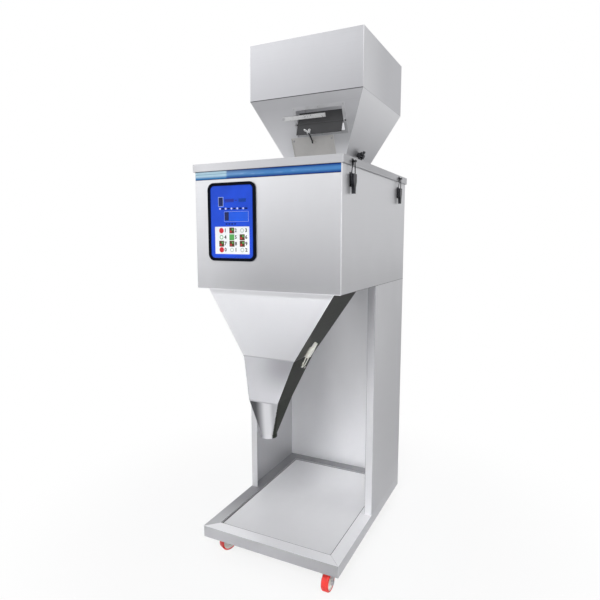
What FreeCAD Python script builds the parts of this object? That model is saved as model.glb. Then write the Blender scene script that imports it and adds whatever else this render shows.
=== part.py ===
import FreeCAD, Part
import math
import os

import Sketcher
from FreeCAD import Placement, Rotation, Vector

# Weigh filling machine: a storage hopper feeds a weigher in a sheet steel body, which drops each
# weighed portion through a funnel into the bag held below. +Z is up, -Y is the operator's side and
# the origin is on the floor, below the middle of the machine's outline.

document = FreeCAD.newDocument("weigh_filling_machine")
sheet = document.addObject("Spreadsheet::Sheet", "sizes")
pieces = []


def size(alias, value):
    """Writes one driving size into the sheet and gives it back as a number."""
    row = len(sheet.getUsedCells()) // 2 + 1
    sheet.set(f"A{row}", alias)
    sheet.set(f"B{row}", str(value))
    sheet.setAlias(f"B{row}", alias)
    sheet.recompute()
    return float(value)


# Main sizes in millimetres

floor_clearance = size("floor_clearance", 70)
machine_width = size("machine_width", 500)
machine_depth = size("machine_depth", 666)

base_height = size("base_height", 38)
base_wall = size("base_wall", 2)
rim_width = size("rim_width", 44)
deck_recess = size("deck_recess", 5)
deck_thickness = size("deck_thickness", 2)
deck_ledge = size("deck_ledge", 10)
deck_gap = size("deck_gap", 0.5)

column_height = size("column_height", 825)
column_depth = size("column_depth", 349)
column_wall = size("column_wall", 1.5)
column_return = size("column_return", 27)
bend_radius = size("bend_radius", 3)

body_height = size("body_height", 388.5)
body_wall = size("body_wall", 1.5)
body_return = size("body_return", 18)

lid_overhang = size("lid_overhang", 5)
lid_skirt = size("lid_skirt", 23)
lid_wall = size("lid_wall", 1.5)

hopper_width = size("hopper_width", 421)
hopper_depth = size("hopper_depth", 443)
hopper_centre = size("hopper_centre", 162)
hopper_wall = size("hopper_wall", 1.5)
hopper_hem = size("hopper_hem", 12)
hopper_straight = size("hopper_straight", 187)
hopper_slope_height = size("hopper_slope_height", 248)
neck_width = size("neck_width", 185)
neck_depth = size("neck_depth", 210)
neck_drop = size("neck_drop", 42)
neck_flange_width = size("neck_flange_width", 20)
neck_flange_thickness = size("neck_flange_thickness", 2)
neck_gap = size("neck_gap", 0.3)

base_top = floor_clearance + base_height
body_bottom = base_top + column_height
body_top = body_bottom + body_height
lid_top = body_top + lid_wall
slope_top = lid_top + hopper_slope_height
hopper_top = slope_top + hopper_straight
half_width = machine_width / 2
half_depth = machine_depth / 2


# Modelling tools


def register(piece, label):
    piece.Label = label
    pieces.append(piece)
    return piece


def new_body(label):
    return register(document.addObject("PartDesign::Body", label), label)


def solid_piece(label, shape, place=None):
    piece = document.addObject("Part::Feature", label)
    piece.Shape = shape
    if place is not None:
        piece.Placement = place
    return register(piece, label)


def number(expression):
    return float(sheet.evalExpression(str(expression)))


def new_sketch(body, name, role, height="0"):
    """A sketch on one of the body's own origin planes, lifted along its normal by an expression."""
    sketch = body.newObject("Sketcher::SketchObject", name)
    planes = [feature for feature in body.Origin.OriginFeatures if feature.Role == role]
    sketch.AttachmentSupport = (planes[0], [""])
    sketch.MapMode = "FlatFace"
    sketch.setExpression("AttachmentOffset.Base.z", str(height))
    return sketch


def bind(sketch, direction, geometry, end, expression):
    """Holds one end of a line at a distance from the sketch's origin."""
    value = number(expression)
    if abs(value) < 1e-9:
        axis = -2 if direction == "DistanceX" else -1
        sketch.addConstraint(Sketcher.Constraint("PointOnObject", geometry, end, axis))
        return
    index = sketch.addConstraint(Sketcher.Constraint(direction, -1, 1, geometry, end, value))
    sketch.setExpression(f"Constraints[{index}]", str(expression))


def draw_outline(sketch, points):
    """A closed outline whose corners are pairs of expressions."""
    first = sketch.GeometryCount
    corners = [Vector(number(x), number(y), 0) for x, y in points]
    count = len(corners)
    for i in range(count):
        sketch.addGeometry(Part.LineSegment(corners[i], corners[(i + 1) % count]))
    for i in range(count):
        sketch.addConstraint(Sketcher.Constraint("Coincident", first + i, 2, first + (i + 1) % count, 1))
    for i, (x, y) in enumerate(points):
        bind(sketch, "DistanceX", first + i, 1, x)
        bind(sketch, "DistanceY", first + i, 1, y)


def draw_rectangle(sketch, left, right, low, high):
    draw_outline(sketch, [(left, low), (right, low), (right, high), (left, high)])


def draw_circle(sketch, x, y, radius):
    centre = Vector(number(x), number(y), 0)
    circle = sketch.addGeometry(Part.Circle(centre, Vector(0, 0, 1), number(radius)))
    bind(sketch, "DistanceX", circle, 3, x)
    bind(sketch, "DistanceY", circle, 3, y)
    index = sketch.addConstraint(Sketcher.Constraint("Radius", circle, number(radius)))
    sketch.setExpression(f"Constraints[{index}]", str(radius))


def pad(body, sketch, length):
    feature = body.newObject("PartDesign::Pad", sketch.Name + "_pad")
    feature.Profile = sketch
    feature.setExpression("Length", str(length))
    document.recompute()
    return feature


def pocket(body, sketch, length, upward=False):
    """A cut of known depth, below the sketch plane or, if upward, above it. It must remove metal."""
    before = body.Shape.Volume
    feature = body.newObject("PartDesign::Pocket", sketch.Name + "_pocket")
    feature.Profile = sketch
    feature.setExpression("Length", str(length))
    feature.Reversed = upward
    document.recompute()
    if body.Shape.Volume > before - 1e-6:
        raise ValueError(f"{body.Label}: {sketch.Name} cuts nothing")
    return feature


def loft(body, kind, sections):
    feature = body.newObject(f"PartDesign::{kind}Loft", f"{kind.lower()}_{sections[0].Name}")
    feature.Profile = sections[0]
    feature.Sections = sections[1:]
    feature.Ruled = True
    document.recompute()
    return feature


def round_edges(body, radius, chosen):
    """Fillets the body's straight edges that the test function picks."""
    tip = body.Tip
    names = [f"Edge{i + 1}" for i, edge in enumerate(tip.Shape.Edges) if chosen(edge)]
    feature = body.newObject("PartDesign::Fillet", f"{body.Label}_bends")
    feature.Base = (tip, names)
    feature.setExpression("Radius", str(radius))
    document.recompute()
    return feature


def upright(edge, x, y, reach=0.01):
    """True for a vertical edge that stands at |x| and y."""
    if len(edge.Vertexes) != 2:
        return False
    ends = [vertex.Point for vertex in edge.Vertexes]
    same = abs(ends[0].x - ends[1].x) < reach and abs(ends[0].y - ends[1].y) < reach
    return same and abs(abs(ends[0].x) - x) < reach and abs(ends[0].y - y) < reach


def cylinder(radius, length, start, axis):
    return Part.makeCylinder(radius, length, start, axis)


def prism(points, depth, normal):
    """A solid block from a closed list of corner vectors, pushed along the normal."""
    wire = Part.makePolygon(list(points) + [points[0]])
    return Part.Face(wire).extrude(normal * depth)


def block(x, y, z):
    """A box between pairs of low and high coordinates."""
    corner = Vector(x[0], y[0], z[0])
    return Part.makeBox(x[1] - x[0], y[1] - y[0], z[1] - z[0], corner)


# Base tray: one folded sheet with a skirt, a wide rim and a ledge that carries the sunken deck

HALF_WIDTH = "sizes.machine_width / 2"
HALF_DEPTH = "sizes.machine_depth / 2"
BASE_TOP = "sizes.floor_clearance + sizes.base_height"
RIM_X = f"({HALF_WIDTH} - sizes.rim_width)"
RIM_Y = f"({HALF_DEPTH} - sizes.rim_width)"
SEAT_DEPTH = "(sizes.deck_recess + sizes.deck_thickness)"
LEDGE_UNDERSIDE = f"(sizes.base_height - {SEAT_DEPTH} - sizes.base_wall)"

caster_x = size("caster_x", 205)
caster_y = size("caster_y", 285)
corner_plate = size("corner_plate", 72)
corner_plate_thickness = size("corner_plate_thickness", 4)
stem_radius = size("stem_radius", 6)
stem_gap = size("stem_gap", 0.1)
cup_height = size("cup_height", 5)


def centred_rectangle(sketch, half_x, half_y):
    draw_rectangle(sketch, f"-{half_x}", half_x, f"-{half_y}", half_y)


base_frame = new_body("base_frame")
tray = new_sketch(base_frame, "tray", "XY_Plane", "sizes.floor_clearance")
centred_rectangle(tray, HALF_WIDTH, HALF_DEPTH)
pad(base_frame, tray, "sizes.base_height")
seat = new_sketch(base_frame, "deck_seat", "XY_Plane", BASE_TOP)
centred_rectangle(seat, RIM_X, RIM_Y)
pocket(base_frame, seat, SEAT_DEPTH)
window = new_sketch(base_frame, "ledge_opening", "XY_Plane", BASE_TOP)
centred_rectangle(window, f"({RIM_X} - sizes.deck_ledge)", f"({RIM_Y} - sizes.deck_ledge)")
pocket(base_frame, window, "sizes.base_height")
hollow = new_sketch(base_frame, "skirt_hollow", "XY_Plane", "sizes.floor_clearance")
centred_rectangle(hollow, f"({HALF_WIDTH} - sizes.base_wall)", f"({HALF_DEPTH} - sizes.base_wall)")
pocket(base_frame, hollow, LEDGE_UNDERSIDE, upward=True)
channel = new_sketch(base_frame, "rim_channel", "XY_Plane", f"sizes.floor_clearance + {LEDGE_UNDERSIDE}")
centred_rectangle(channel, f"({HALF_WIDTH} - sizes.base_wall)", f"({HALF_DEPTH} - sizes.base_wall)")
centred_rectangle(channel, f"({RIM_X} + sizes.base_wall)", f"({RIM_Y} + sizes.base_wall)")
pocket(base_frame, channel, f"{SEAT_DEPTH}", upward=True)
for side_x in (-1, 1):
    for side_y in (-1, 1):
        name = f"corner_plate_{'left' if side_x < 0 else 'right'}_{'front' if side_y < 0 else 'back'}"
        gusset = new_sketch(base_frame, name, "XY_Plane", "sizes.floor_clearance + sizes.base_wall")
        outer_x = f"{side_x} * ({HALF_WIDTH} - sizes.base_wall)"
        inner_x = f"{side_x} * ({HALF_WIDTH} - sizes.base_wall - sizes.corner_plate)"
        outer_y = f"{side_y} * ({HALF_DEPTH} - sizes.base_wall)"
        inner_y = f"{side_y} * ({HALF_DEPTH} - sizes.base_wall - sizes.corner_plate)"
        draw_rectangle(gusset, inner_x, outer_x, inner_y, outer_y)
        draw_circle(gusset, f"{side_x} * sizes.caster_x", f"{side_y} * sizes.caster_y",
                    "sizes.stem_radius + sizes.stem_gap")
        pad(base_frame, gusset, "sizes.corner_plate_thickness")
round_edges(base_frame, "sizes.bend_radius", lambda edge: upright(edge, half_width, half_depth)
            or upright(edge, half_width, -half_depth))

deck = new_body("deck_plate")
deck_outline = new_sketch(deck, "deck", "XY_Plane", f"{BASE_TOP} - {SEAT_DEPTH}")
centred_rectangle(deck_outline, f"({RIM_X} - sizes.deck_gap)", f"({RIM_Y} - sizes.deck_gap)")
pad(deck, deck_outline, "sizes.deck_thickness")


# Casters: a threaded stem with its bearing cup stays on the base, the fork turns under the cup and
# the wheel turns on a bolt riveted into the fork

wheel_radius = size("wheel_radius", 30)
wheel_width = size("wheel_width", 24)
tread_depth = size("tread_depth", 6)
wheel_trail = size("wheel_trail", 22)
axle_radius = size("axle_radius", 4)
axle_gap = size("axle_gap", 0.05)
axle_cap_radius = size("axle_cap_radius", 7)
axle_cap_thickness = size("axle_cap_thickness", 3)
hub_side_gap = size("hub_side_gap", 1)
hub_boss = size("hub_boss", 1)
hub_radius = size("hub_radius", 9)
web_recess = size("web_recess", 4)
fork_thickness = size("fork_thickness", 2.5)
fork_foot_radius = size("fork_foot_radius", 8)
crown_radius = size("crown_radius", 21)
crown_thickness = size("crown_thickness", 2.5)
crown_gap = size("crown_gap", 0.3)
cup_radius = size("cup_radius", 20)
rivet_radius = size("rivet_radius", 9)
rivet_height = size("rivet_height", 2)
nut_radius = size("nut_radius", 10)
nut_height = size("nut_height", 8)

swivel_angles = (155, 0, 160, 205)
caster_corners = ((-caster_x, -caster_y), (caster_x, -caster_y), (-caster_x, caster_y), (caster_x, caster_y))
plate_underside = floor_clearance + base_wall
crown_top = plate_underside - cup_height - crown_gap
crown_underside = crown_top - crown_thickness
leg_inside = wheel_width / 2 + hub_boss + hub_side_gap
leg_outside = leg_inside + fork_thickness
UP = Vector(0, 0, 1)
ALONG_X = Vector(1, 0, 0)
ALONG_Y = Vector(0, 1, 0)


def caster_stem():
    stem = cylinder(stem_radius, cup_height + corner_plate_thickness + nut_height + 3,
                    Vector(0, 0, plate_underside - cup_height), UP)
    post = cylinder(stem_radius, crown_gap + crown_thickness + crown_gap + 0.1,
                    Vector(0, 0, crown_underside - crown_gap), UP)
    rivet = cylinder(rivet_radius, rivet_height, Vector(0, 0, crown_underside - crown_gap - rivet_height), UP)
    cup = Part.makeCone(cup_radius, cup_radius - cup_height / 2, cup_height,
                        Vector(0, 0, plate_underside - cup_height), UP)
    hexagon = [Vector(nut_radius * math.cos(math.pi * k / 3), nut_radius * math.sin(math.pi * k / 3),
                      plate_underside + corner_plate_thickness) for k in range(6)]
    nut = prism(hexagon, nut_height, UP)
    return stem.fuse([post, rivet, cup, nut]).removeSplitter()


def caster_fork():
    centre = Vector(0, -wheel_trail, wheel_radius)
    crown = cylinder(crown_radius, crown_thickness, Vector(0, 0, crown_underside), UP)
    crown = crown.fuse(block((-leg_outside, leg_outside), (-wheel_trail, crown_radius / 2),
                             (crown_underside, crown_top)))
    legs = []
    for inside in (leg_inside, -leg_outside):
        profile = [Vector(inside, crown_radius / 2, crown_top), Vector(inside, -wheel_trail, crown_top),
                   Vector(inside, -wheel_trail - fork_foot_radius, wheel_radius),
                   Vector(inside, -wheel_trail + fork_foot_radius, wheel_radius)]
        leg = prism(profile, fork_thickness, ALONG_X)
        foot = cylinder(fork_foot_radius, fork_thickness, centre + ALONG_X * inside, ALONG_X)
        legs.append(leg.fuse(foot))
    axle = cylinder(axle_radius, 2 * leg_outside, centre - ALONG_X * leg_outside, ALONG_X)
    caps = [cylinder(axle_cap_radius, axle_cap_thickness, centre + ALONG_X * start, ALONG_X)
            for start in (leg_outside, -leg_outside - axle_cap_thickness)]
    fork = crown.fuse(legs + [axle] + caps)
    bore = cylinder(stem_radius + axle_gap, 2 * crown_thickness, Vector(0, 0, crown_underside - 1), UP)
    return fork.cut(bore).removeSplitter()


def turned(profile, centre):
    """A ring about the wheel axle from (radius, distance along the axle) corners."""
    corners = [centre + Vector(along, 0, radius) for radius, along in profile]
    face = Part.Face(Part.makePolygon(corners + [corners[0]]))
    return face.revolve(centre, ALONG_X, 360)


def wheel_core():
    centre = Vector(0, -wheel_trail, wheel_radius)
    rim = wheel_radius - tread_depth
    half = wheel_width / 2
    web = half - web_recess
    bore = axle_radius + axle_gap
    profile = [(bore, -half - hub_boss), (hub_radius, -half - hub_boss), (hub_radius + 1, -web),
               (rim - 3, -web),
               (rim - 2, -half + 1), (rim, -half + 1), (rim, half - 1), (rim - 2, half - 1), (rim - 3, web),
               (hub_radius + 1, web), (hub_radius, half + hub_boss), (bore, half + hub_boss)]
    return turned(profile, centre)


def wheel_tread():
    centre = Vector(0, -wheel_trail, wheel_radius)
    rim = wheel_radius - tread_depth
    half = wheel_width / 2
    shoulder = tread_depth / 2
    profile = [(rim, -half), (wheel_radius - shoulder, -half), (wheel_radius, -half + shoulder),
               (wheel_radius, half - shoulder), (wheel_radius - shoulder, half), (rim, half)]
    return turned(profile, centre)


stems = []
for i, (x, y) in enumerate(caster_corners):
    place = Placement(Vector(x, y, 0), Rotation(UP, swivel_angles[i]))
    stem = caster_stem()
    stem.Placement = place
    stems.append(stem)
    solid_piece(f"caster_fork_{i + 1}", caster_fork(), place)
    solid_piece(f"wheel_core_{i + 1}", wheel_core(), place)
    solid_piece(f"wheel_tread_{i + 1}", wheel_tread(), place)
solid_piece("caster_stems", Part.makeCompound(stems))


# Column: a folded U of sheet with narrow returns along its front edges

column = new_body("column_shell")
column_plan = new_sketch(column, "column_plan", "XY_Plane", BASE_TOP)
BACK = HALF_DEPTH
FRONT = f"({HALF_DEPTH} - sizes.column_depth)"
INNER_X = f"({HALF_WIDTH} - sizes.column_wall)"
RETURN_X = f"({HALF_WIDTH} - sizes.column_return)"
draw_outline(column_plan, [
    (f"-{HALF_WIDTH}", BACK), (f"-{HALF_WIDTH}", FRONT), (f"-{RETURN_X}", FRONT),
    (f"-{RETURN_X}", f"{FRONT} + sizes.column_wall"), (f"-{INNER_X}", f"{FRONT} + sizes.column_wall"),
    (f"-{INNER_X}", f"{BACK} - sizes.column_wall"), (INNER_X, f"{BACK} - sizes.column_wall"),
    (INNER_X, f"{FRONT} + sizes.column_wall"), (RETURN_X, f"{FRONT} + sizes.column_wall"),
    (RETURN_X, FRONT), (HALF_WIDTH, FRONT), (HALF_WIDTH, BACK)])
pad(column, column_plan, "sizes.column_height")
round_edges(column, "sizes.bend_radius", lambda edge: upright(edge, half_width, half_depth)
            or upright(edge, half_width, half_depth - column_depth))


# Body: a welded box with a return round its open top, a chute opening in its floor, and cut-outs
# behind the control panel and the rear service panel

funnel_top_half = size("funnel_top_half", 222)
funnel_front = size("funnel_front", -312)
funnel_top_back = size("funnel_top_back", -109)
floor_lap = size("floor_lap", 12)
panel_left = size("panel_left", -199)
panel_width = size("panel_width", 173)
panel_bottom = size("panel_bottom", 1023)
panel_height = size("panel_height", 240)
panel_border = size("panel_border", 9)
service_width = size("service_width", 360)
service_height = size("service_height", 230)
service_bottom = size("service_bottom", 990)
service_lap = size("service_lap", 15)

BODY_BOTTOM = f"({BASE_TOP} + sizes.column_height)"
BODY_TOP = f"({BODY_BOTTOM} + sizes.body_height)"
BODY_INNER_X = f"({HALF_WIDTH} - sizes.body_wall)"
BODY_INNER_Y = f"({HALF_DEPTH} - sizes.body_wall)"

body_shell = new_body("body_shell")
box = new_sketch(body_shell, "body_box", "XY_Plane", BODY_BOTTOM)
centred_rectangle(box, HALF_WIDTH, HALF_DEPTH)
pad(body_shell, box, "sizes.body_height")
cavity = new_sketch(body_shell, "body_cavity", "XY_Plane", f"{BODY_BOTTOM} + sizes.body_wall")
centred_rectangle(cavity, BODY_INNER_X, BODY_INNER_Y)
pocket(body_shell, cavity, "sizes.body_height - 2 * sizes.body_wall", upward=True)
mouth = new_sketch(body_shell, "body_mouth", "XY_Plane", BODY_TOP)
centred_rectangle(mouth, f"({BODY_INNER_X} - sizes.body_return)", f"({BODY_INNER_Y} - sizes.body_return)")
pocket(body_shell, mouth, "2 * sizes.body_wall")
chute = new_sketch(body_shell, "chute_opening", "XY_Plane", f"{BODY_BOTTOM} + 2 * sizes.body_wall")
draw_rectangle(chute, "-(sizes.funnel_top_half - sizes.floor_lap)", "sizes.funnel_top_half - sizes.floor_lap",
               "sizes.funnel_front + sizes.floor_lap", "sizes.funnel_top_back - sizes.floor_lap")
pocket(body_shell, chute, "3 * sizes.body_wall")
cable_cut = new_sketch(body_shell, "panel_cut", "XZ_Plane", f"{HALF_DEPTH} - 2 * sizes.body_wall")
draw_rectangle(cable_cut, "sizes.panel_left + 4 * sizes.panel_border",
               "sizes.panel_left + sizes.panel_width - 4 * sizes.panel_border",
               "sizes.panel_bottom + 4 * sizes.panel_border",
               "sizes.panel_bottom + sizes.panel_height - 4 * sizes.panel_border")
pocket(body_shell, cable_cut, "3 * sizes.body_wall", upward=True)
service_cut = new_sketch(body_shell, "service_cut", "XZ_Plane", f"-({HALF_DEPTH} - 2 * sizes.body_wall)")
draw_rectangle(service_cut, "-(sizes.service_width / 2 - sizes.service_lap)",
               "sizes.service_width / 2 - sizes.service_lap", "sizes.service_bottom + sizes.service_lap",
               "sizes.service_bottom + sizes.service_height - sizes.service_lap")
pocket(body_shell, service_cut, "3 * sizes.body_wall")
round_edges(body_shell, "sizes.bend_radius", lambda edge: upright(edge, half_width, half_depth)
            or upright(edge, half_width, -half_depth))


# Lid: a folded cover whose skirt hangs round the top of the body, with a hole for the hopper's neck
# and a clear pane in front of it, through which the weigher is watched

pane_width = size("pane_width", 320)
pane_depth = size("pane_depth", 200)
pane_front = size("pane_front", -292)
pane_lap = size("pane_lap", 18)
pane_thickness = size("pane_thickness", 4)
pane_corner = size("pane_corner", 10)

NECK_X = "sizes.neck_width / 2"
NECK_FRONT = "(sizes.hopper_centre - sizes.neck_depth / 2)"
NECK_BACK = "(sizes.hopper_centre + sizes.neck_depth / 2)"
LID_TOP = f"({BODY_TOP} + sizes.lid_wall)"
LID_X = f"({HALF_WIDTH} + sizes.lid_overhang)"
LID_Y = f"({HALF_DEPTH} + sizes.lid_overhang)"

lid = new_body("lid")
lid_plan = new_sketch(lid, "lid_plan", "XY_Plane", f"{LID_TOP} - sizes.lid_skirt")
centred_rectangle(lid_plan, LID_X, LID_Y)
pad(lid, lid_plan, "sizes.lid_skirt")
lid_hollow = new_sketch(lid, "lid_hollow", "XY_Plane", f"{LID_TOP} - sizes.lid_skirt")
centred_rectangle(lid_hollow, f"({LID_X} - sizes.lid_wall)", f"({LID_Y} - sizes.lid_wall)")
pocket(lid, lid_hollow, "sizes.lid_skirt - sizes.lid_wall", upward=True)
neck_hole = new_sketch(lid, "neck_hole", "XY_Plane", LID_TOP)
draw_rectangle(neck_hole, f"-({NECK_X} + sizes.neck_gap)", f"{NECK_X} + sizes.neck_gap",
               f"{NECK_FRONT} - sizes.neck_gap", f"{NECK_BACK} + sizes.neck_gap")
draw_rectangle(neck_hole, "-(sizes.pane_width / 2 - sizes.pane_lap)", "sizes.pane_width / 2 - sizes.pane_lap",
               "sizes.pane_front + sizes.pane_lap", "sizes.pane_front + sizes.pane_depth - sizes.pane_lap")
pocket(lid, neck_hole, "sizes.lid_skirt")
round_edges(lid, "sizes.bend_radius",
            lambda edge: upright(edge, half_width + lid_overhang, half_depth + lid_overhang)
            or upright(edge, half_width + lid_overhang, -half_depth - lid_overhang))

pane = new_body("inspection_pane")
pane_outline = new_sketch(pane, "pane_outline", "XY_Plane", LID_TOP)
draw_rectangle(pane_outline, "-sizes.pane_width / 2", "sizes.pane_width / 2", "sizes.pane_front",
               "sizes.pane_front + sizes.pane_depth")
pad(pane, pane_outline, "sizes.pane_thickness")
round_edges(pane, "sizes.pane_corner", lambda edge: upright(edge, pane_width / 2, pane_front)
            or upright(edge, pane_width / 2, pane_front + pane_depth))


# Hopper: straight walls over a four-sided taper, ending in a neck that drops through the lid

window_left = size("window_left", -41)
window_right = size("window_right", 129)
window_high = size("window_high", 48)
window_low = size("window_low", 127)
slope_run = hopper_depth / 2 - neck_depth / 2
slope_length = math.hypot(slope_run, hopper_slope_height)
slope_drop = hopper_slope_height / slope_length

HOPPER_X = "sizes.hopper_width / 2"
HOPPER_FRONT = "(sizes.hopper_centre - sizes.hopper_depth / 2)"
HOPPER_BACK = "(sizes.hopper_centre + sizes.hopper_depth / 2)"
SLOPE_TOP = f"({LID_TOP} + sizes.hopper_slope_height)"
HOPPER_TOP = f"({SLOPE_TOP} + sizes.hopper_straight)"


def ring_of_four(body, stem, plan, inset):
    """Loft sections for a square duct: plan lists (half width, front, back, height) expressions."""
    sections = []
    for i, (half, front, back, height) in enumerate(plan):
        section = new_sketch(body, f"{stem}_{i + 1}", "XY_Plane", height)
        draw_rectangle(section, f"-({half} - {inset})", f"{half} - {inset}",
                       f"{front} + {inset}", f"{back} - {inset}")
        sections.append(section)
    return sections


hopper = new_body("hopper")
hopper_plan = [(HOPPER_X, HOPPER_FRONT, HOPPER_BACK, HOPPER_TOP),
               (HOPPER_X, HOPPER_FRONT, HOPPER_BACK, SLOPE_TOP),
               (NECK_X, NECK_FRONT, NECK_BACK, LID_TOP),
               (NECK_X, NECK_FRONT, NECK_BACK, f"{LID_TOP} - sizes.neck_drop")]
loft(hopper, "Additive", ring_of_four(hopper, "hopper_outside", hopper_plan, "0"))
loft(hopper, "Subtractive", ring_of_four(hopper, "hopper_inside", hopper_plan, "sizes.hopper_wall"))
neck_flange = new_sketch(hopper, "neck_flange", "XY_Plane", LID_TOP)
draw_rectangle(neck_flange, f"-({NECK_X} + sizes.neck_flange_width)", f"{NECK_X} + sizes.neck_flange_width",
               f"{NECK_FRONT} - sizes.neck_flange_width", f"{NECK_BACK} + sizes.neck_flange_width")
draw_rectangle(neck_flange, f"-({NECK_X} - sizes.hopper_wall / 2)", f"{NECK_X} - sizes.hopper_wall / 2",
               f"{NECK_FRONT} + sizes.hopper_wall / 2", f"{NECK_BACK} - sizes.hopper_wall / 2")
pad(hopper, neck_flange, "sizes.neck_flange_thickness")
hem = new_sketch(hopper, "rim_hem", "XY_Plane", f"{HOPPER_TOP} - sizes.hopper_wall")
for inset in ("sizes.hopper_wall / 2", "sizes.hopper_hem"):
    draw_rectangle(hem, f"-({HOPPER_X} - {inset})", f"{HOPPER_X} - {inset}",
                   f"{HOPPER_FRONT} + {inset}", f"{HOPPER_BACK} - {inset}")
pad(hopper, hem, "sizes.hopper_wall")
valve_window = new_sketch(hopper, "valve_window", "XZ_Plane", f"-{HOPPER_FRONT} + sizes.hopper_wall")
draw_rectangle(valve_window, "sizes.window_left", "sizes.window_right",
               f"{SLOPE_TOP} - sizes.window_low * {slope_drop:.6f}",
               f"{SLOPE_TOP} - sizes.window_high * {slope_drop:.6f}")
pocket(hopper, valve_window, "sizes.hopper_depth / 3")


# Material valve on the hopper's front slope: a dark flap turns on a rod in a riveted frame, a catch
# bar stops it flush, and a hinged stay with a wing nut holds its lower edge out

frame_border = size("frame_border", 11)
frame_thickness = size("frame_thickness", 1.5)
pivot_drop = size("pivot_drop", 95)
pivot_height = size("pivot_height", 5)
pivot_radius = size("pivot_radius", 2.5)
pivot_gap = size("pivot_gap", 0.05)
ear_thickness = size("ear_thickness", 3)
ear_half = size("ear_half", 6)
ear_inset = size("ear_inset", 3)
flap_side_gap = size("flap_side_gap", 1.5)
flap_upper = size("flap_upper", 42.9)
flap_lower = size("flap_lower", 37.6)
flap_thickness = size("flap_thickness", 3)
flap_angle = size("flap_angle", 43)
notch_half = size("notch_half", 7)
notch_depth = size("notch_depth", 11)
catch_left = size("catch_left", -88)
catch_right = size("catch_right", 70)
catch_high = size("catch_high", 63)
catch_width = size("catch_width", 13)
catch_height = size("catch_height", 9)
catch_thickness = size("catch_thickness", 2)
running_gap = size("running_gap", 0.3)
cover_left = size("cover_left", -76)
cover_right = size("cover_right", 84)
cover_low = size("cover_low", 266)
cover_gap = size("cover_gap", 1.5)
cover_thickness = size("cover_thickness", 1)
cover_lip = size("cover_lip", 4)
stay_x = size("stay_x", 6)
stay_foot = size("stay_foot", 157)
stay_foot_height = size("stay_foot_height", 6)
stay_length = size("stay_length", 60)
stay_lean = size("stay_lean", 29)
stay_radius = size("stay_radius", 2.5)
stay_eye_radius = size("stay_eye_radius", 4.5)
stay_pin_radius = size("stay_pin_radius", 2)
wing_nut_place = size("wing_nut_place", 47.6)
wing_span = size("wing_span", 26)
wing_height = size("wing_height", 13)
wing_thickness = size("wing_thickness", 2.4)

slope_axes = Rotation(ALONG_X, Vector(0, -slope_run / slope_length, slope_drop),
                      Vector(0, -slope_drop, -slope_run / slope_length), "XYZ")
slope_frame = Placement(Vector(0, hopper_centre - hopper_depth / 2, slope_top), slope_axes)
OUT = Vector(0, 0, 1)


def on_slope(x, drop, height, turn=0.0):
    """A place on the front slope: x across, drop down the sheet, height out of it, turned about x."""
    return slope_frame.multiply(Placement(Vector(x, -drop, height), Rotation(ALONG_X, turn)))


window_middle = (window_left + window_right) / 2
window_half = (window_right - window_left) / 2
flap_half = window_half - flap_side_gap
ear_outside = window_half + ear_inset + ear_thickness

outer_plate = block((window_left - frame_border, window_right + frame_border),
                    (-window_low - frame_border, -window_high + frame_border), (0, frame_thickness))
catch_tab = block((catch_left - catch_width / 2, window_left), (-catch_high - catch_width, -catch_high),
                  (0, frame_thickness))
frame_hole = block((window_left, window_right), (-window_low, -window_high), (-1, frame_thickness + 1))
valve_frame = outer_plate.fuse(catch_tab).cut(frame_hole)
for start in (window_middle - ear_outside, window_middle + ear_outside - ear_thickness):
    ear = block((start, start + ear_thickness), (-pivot_drop - ear_half, -pivot_drop + ear_half),
                (frame_thickness, pivot_height + pivot_radius + 2))
    valve_frame = valve_frame.fuse(ear)
ear_bore = cylinder(pivot_radius + pivot_gap, 2 * ear_outside + 2,
                    Vector(window_middle - ear_outside - 1, -pivot_drop, pivot_height), ALONG_X)
valve_frame = valve_frame.cut(ear_bore)
catch_pivot = Vector(catch_left, -catch_high - catch_width / 2, 0)
catch_stud = cylinder(pivot_radius, catch_height + running_gap, catch_pivot, OUT)
catch_washer = cylinder(2 * pivot_radius, catch_height - catch_thickness - running_gap, catch_pivot, OUT)
catch_head = cylinder(2 * pivot_radius, 2, catch_pivot + OUT * (catch_height + running_gap), OUT)
valve_frame = valve_frame.fuse([catch_stud, catch_washer, catch_head]).removeSplitter()
solid_piece("valve_frame", valve_frame, slope_frame)

flap = block((-flap_half, flap_half), (-flap_lower, flap_upper), (-flap_thickness / 2, flap_thickness / 2))
rod = cylinder(pivot_radius, 2 * (ear_outside + 3), Vector(-ear_outside - 3, 0, 0), ALONG_X)
notch_x = stay_x - window_middle
notch = block((notch_x - notch_half, notch_x + notch_half), (-flap_lower - 1, -flap_lower + notch_depth),
              (-flap_thickness, flap_thickness))
flap = flap.fuse(rod).cut(notch).removeSplitter()
solid_piece("valve_flap", flap, on_slope(window_middle, pivot_drop, pivot_height, -flap_angle))

bar = block((catch_left, catch_right), (-catch_high - catch_width, -catch_high),
            (catch_height - catch_thickness, catch_height))
bar = bar.fuse(cylinder(catch_width / 2, catch_thickness,
                        catch_pivot + OUT * (catch_height - catch_thickness), OUT))
bar = bar.cut(cylinder(pivot_radius + pivot_gap, catch_height + 2, catch_pivot, OUT)).removeSplitter()
solid_piece("catch_bar", bar, slope_frame)

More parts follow.
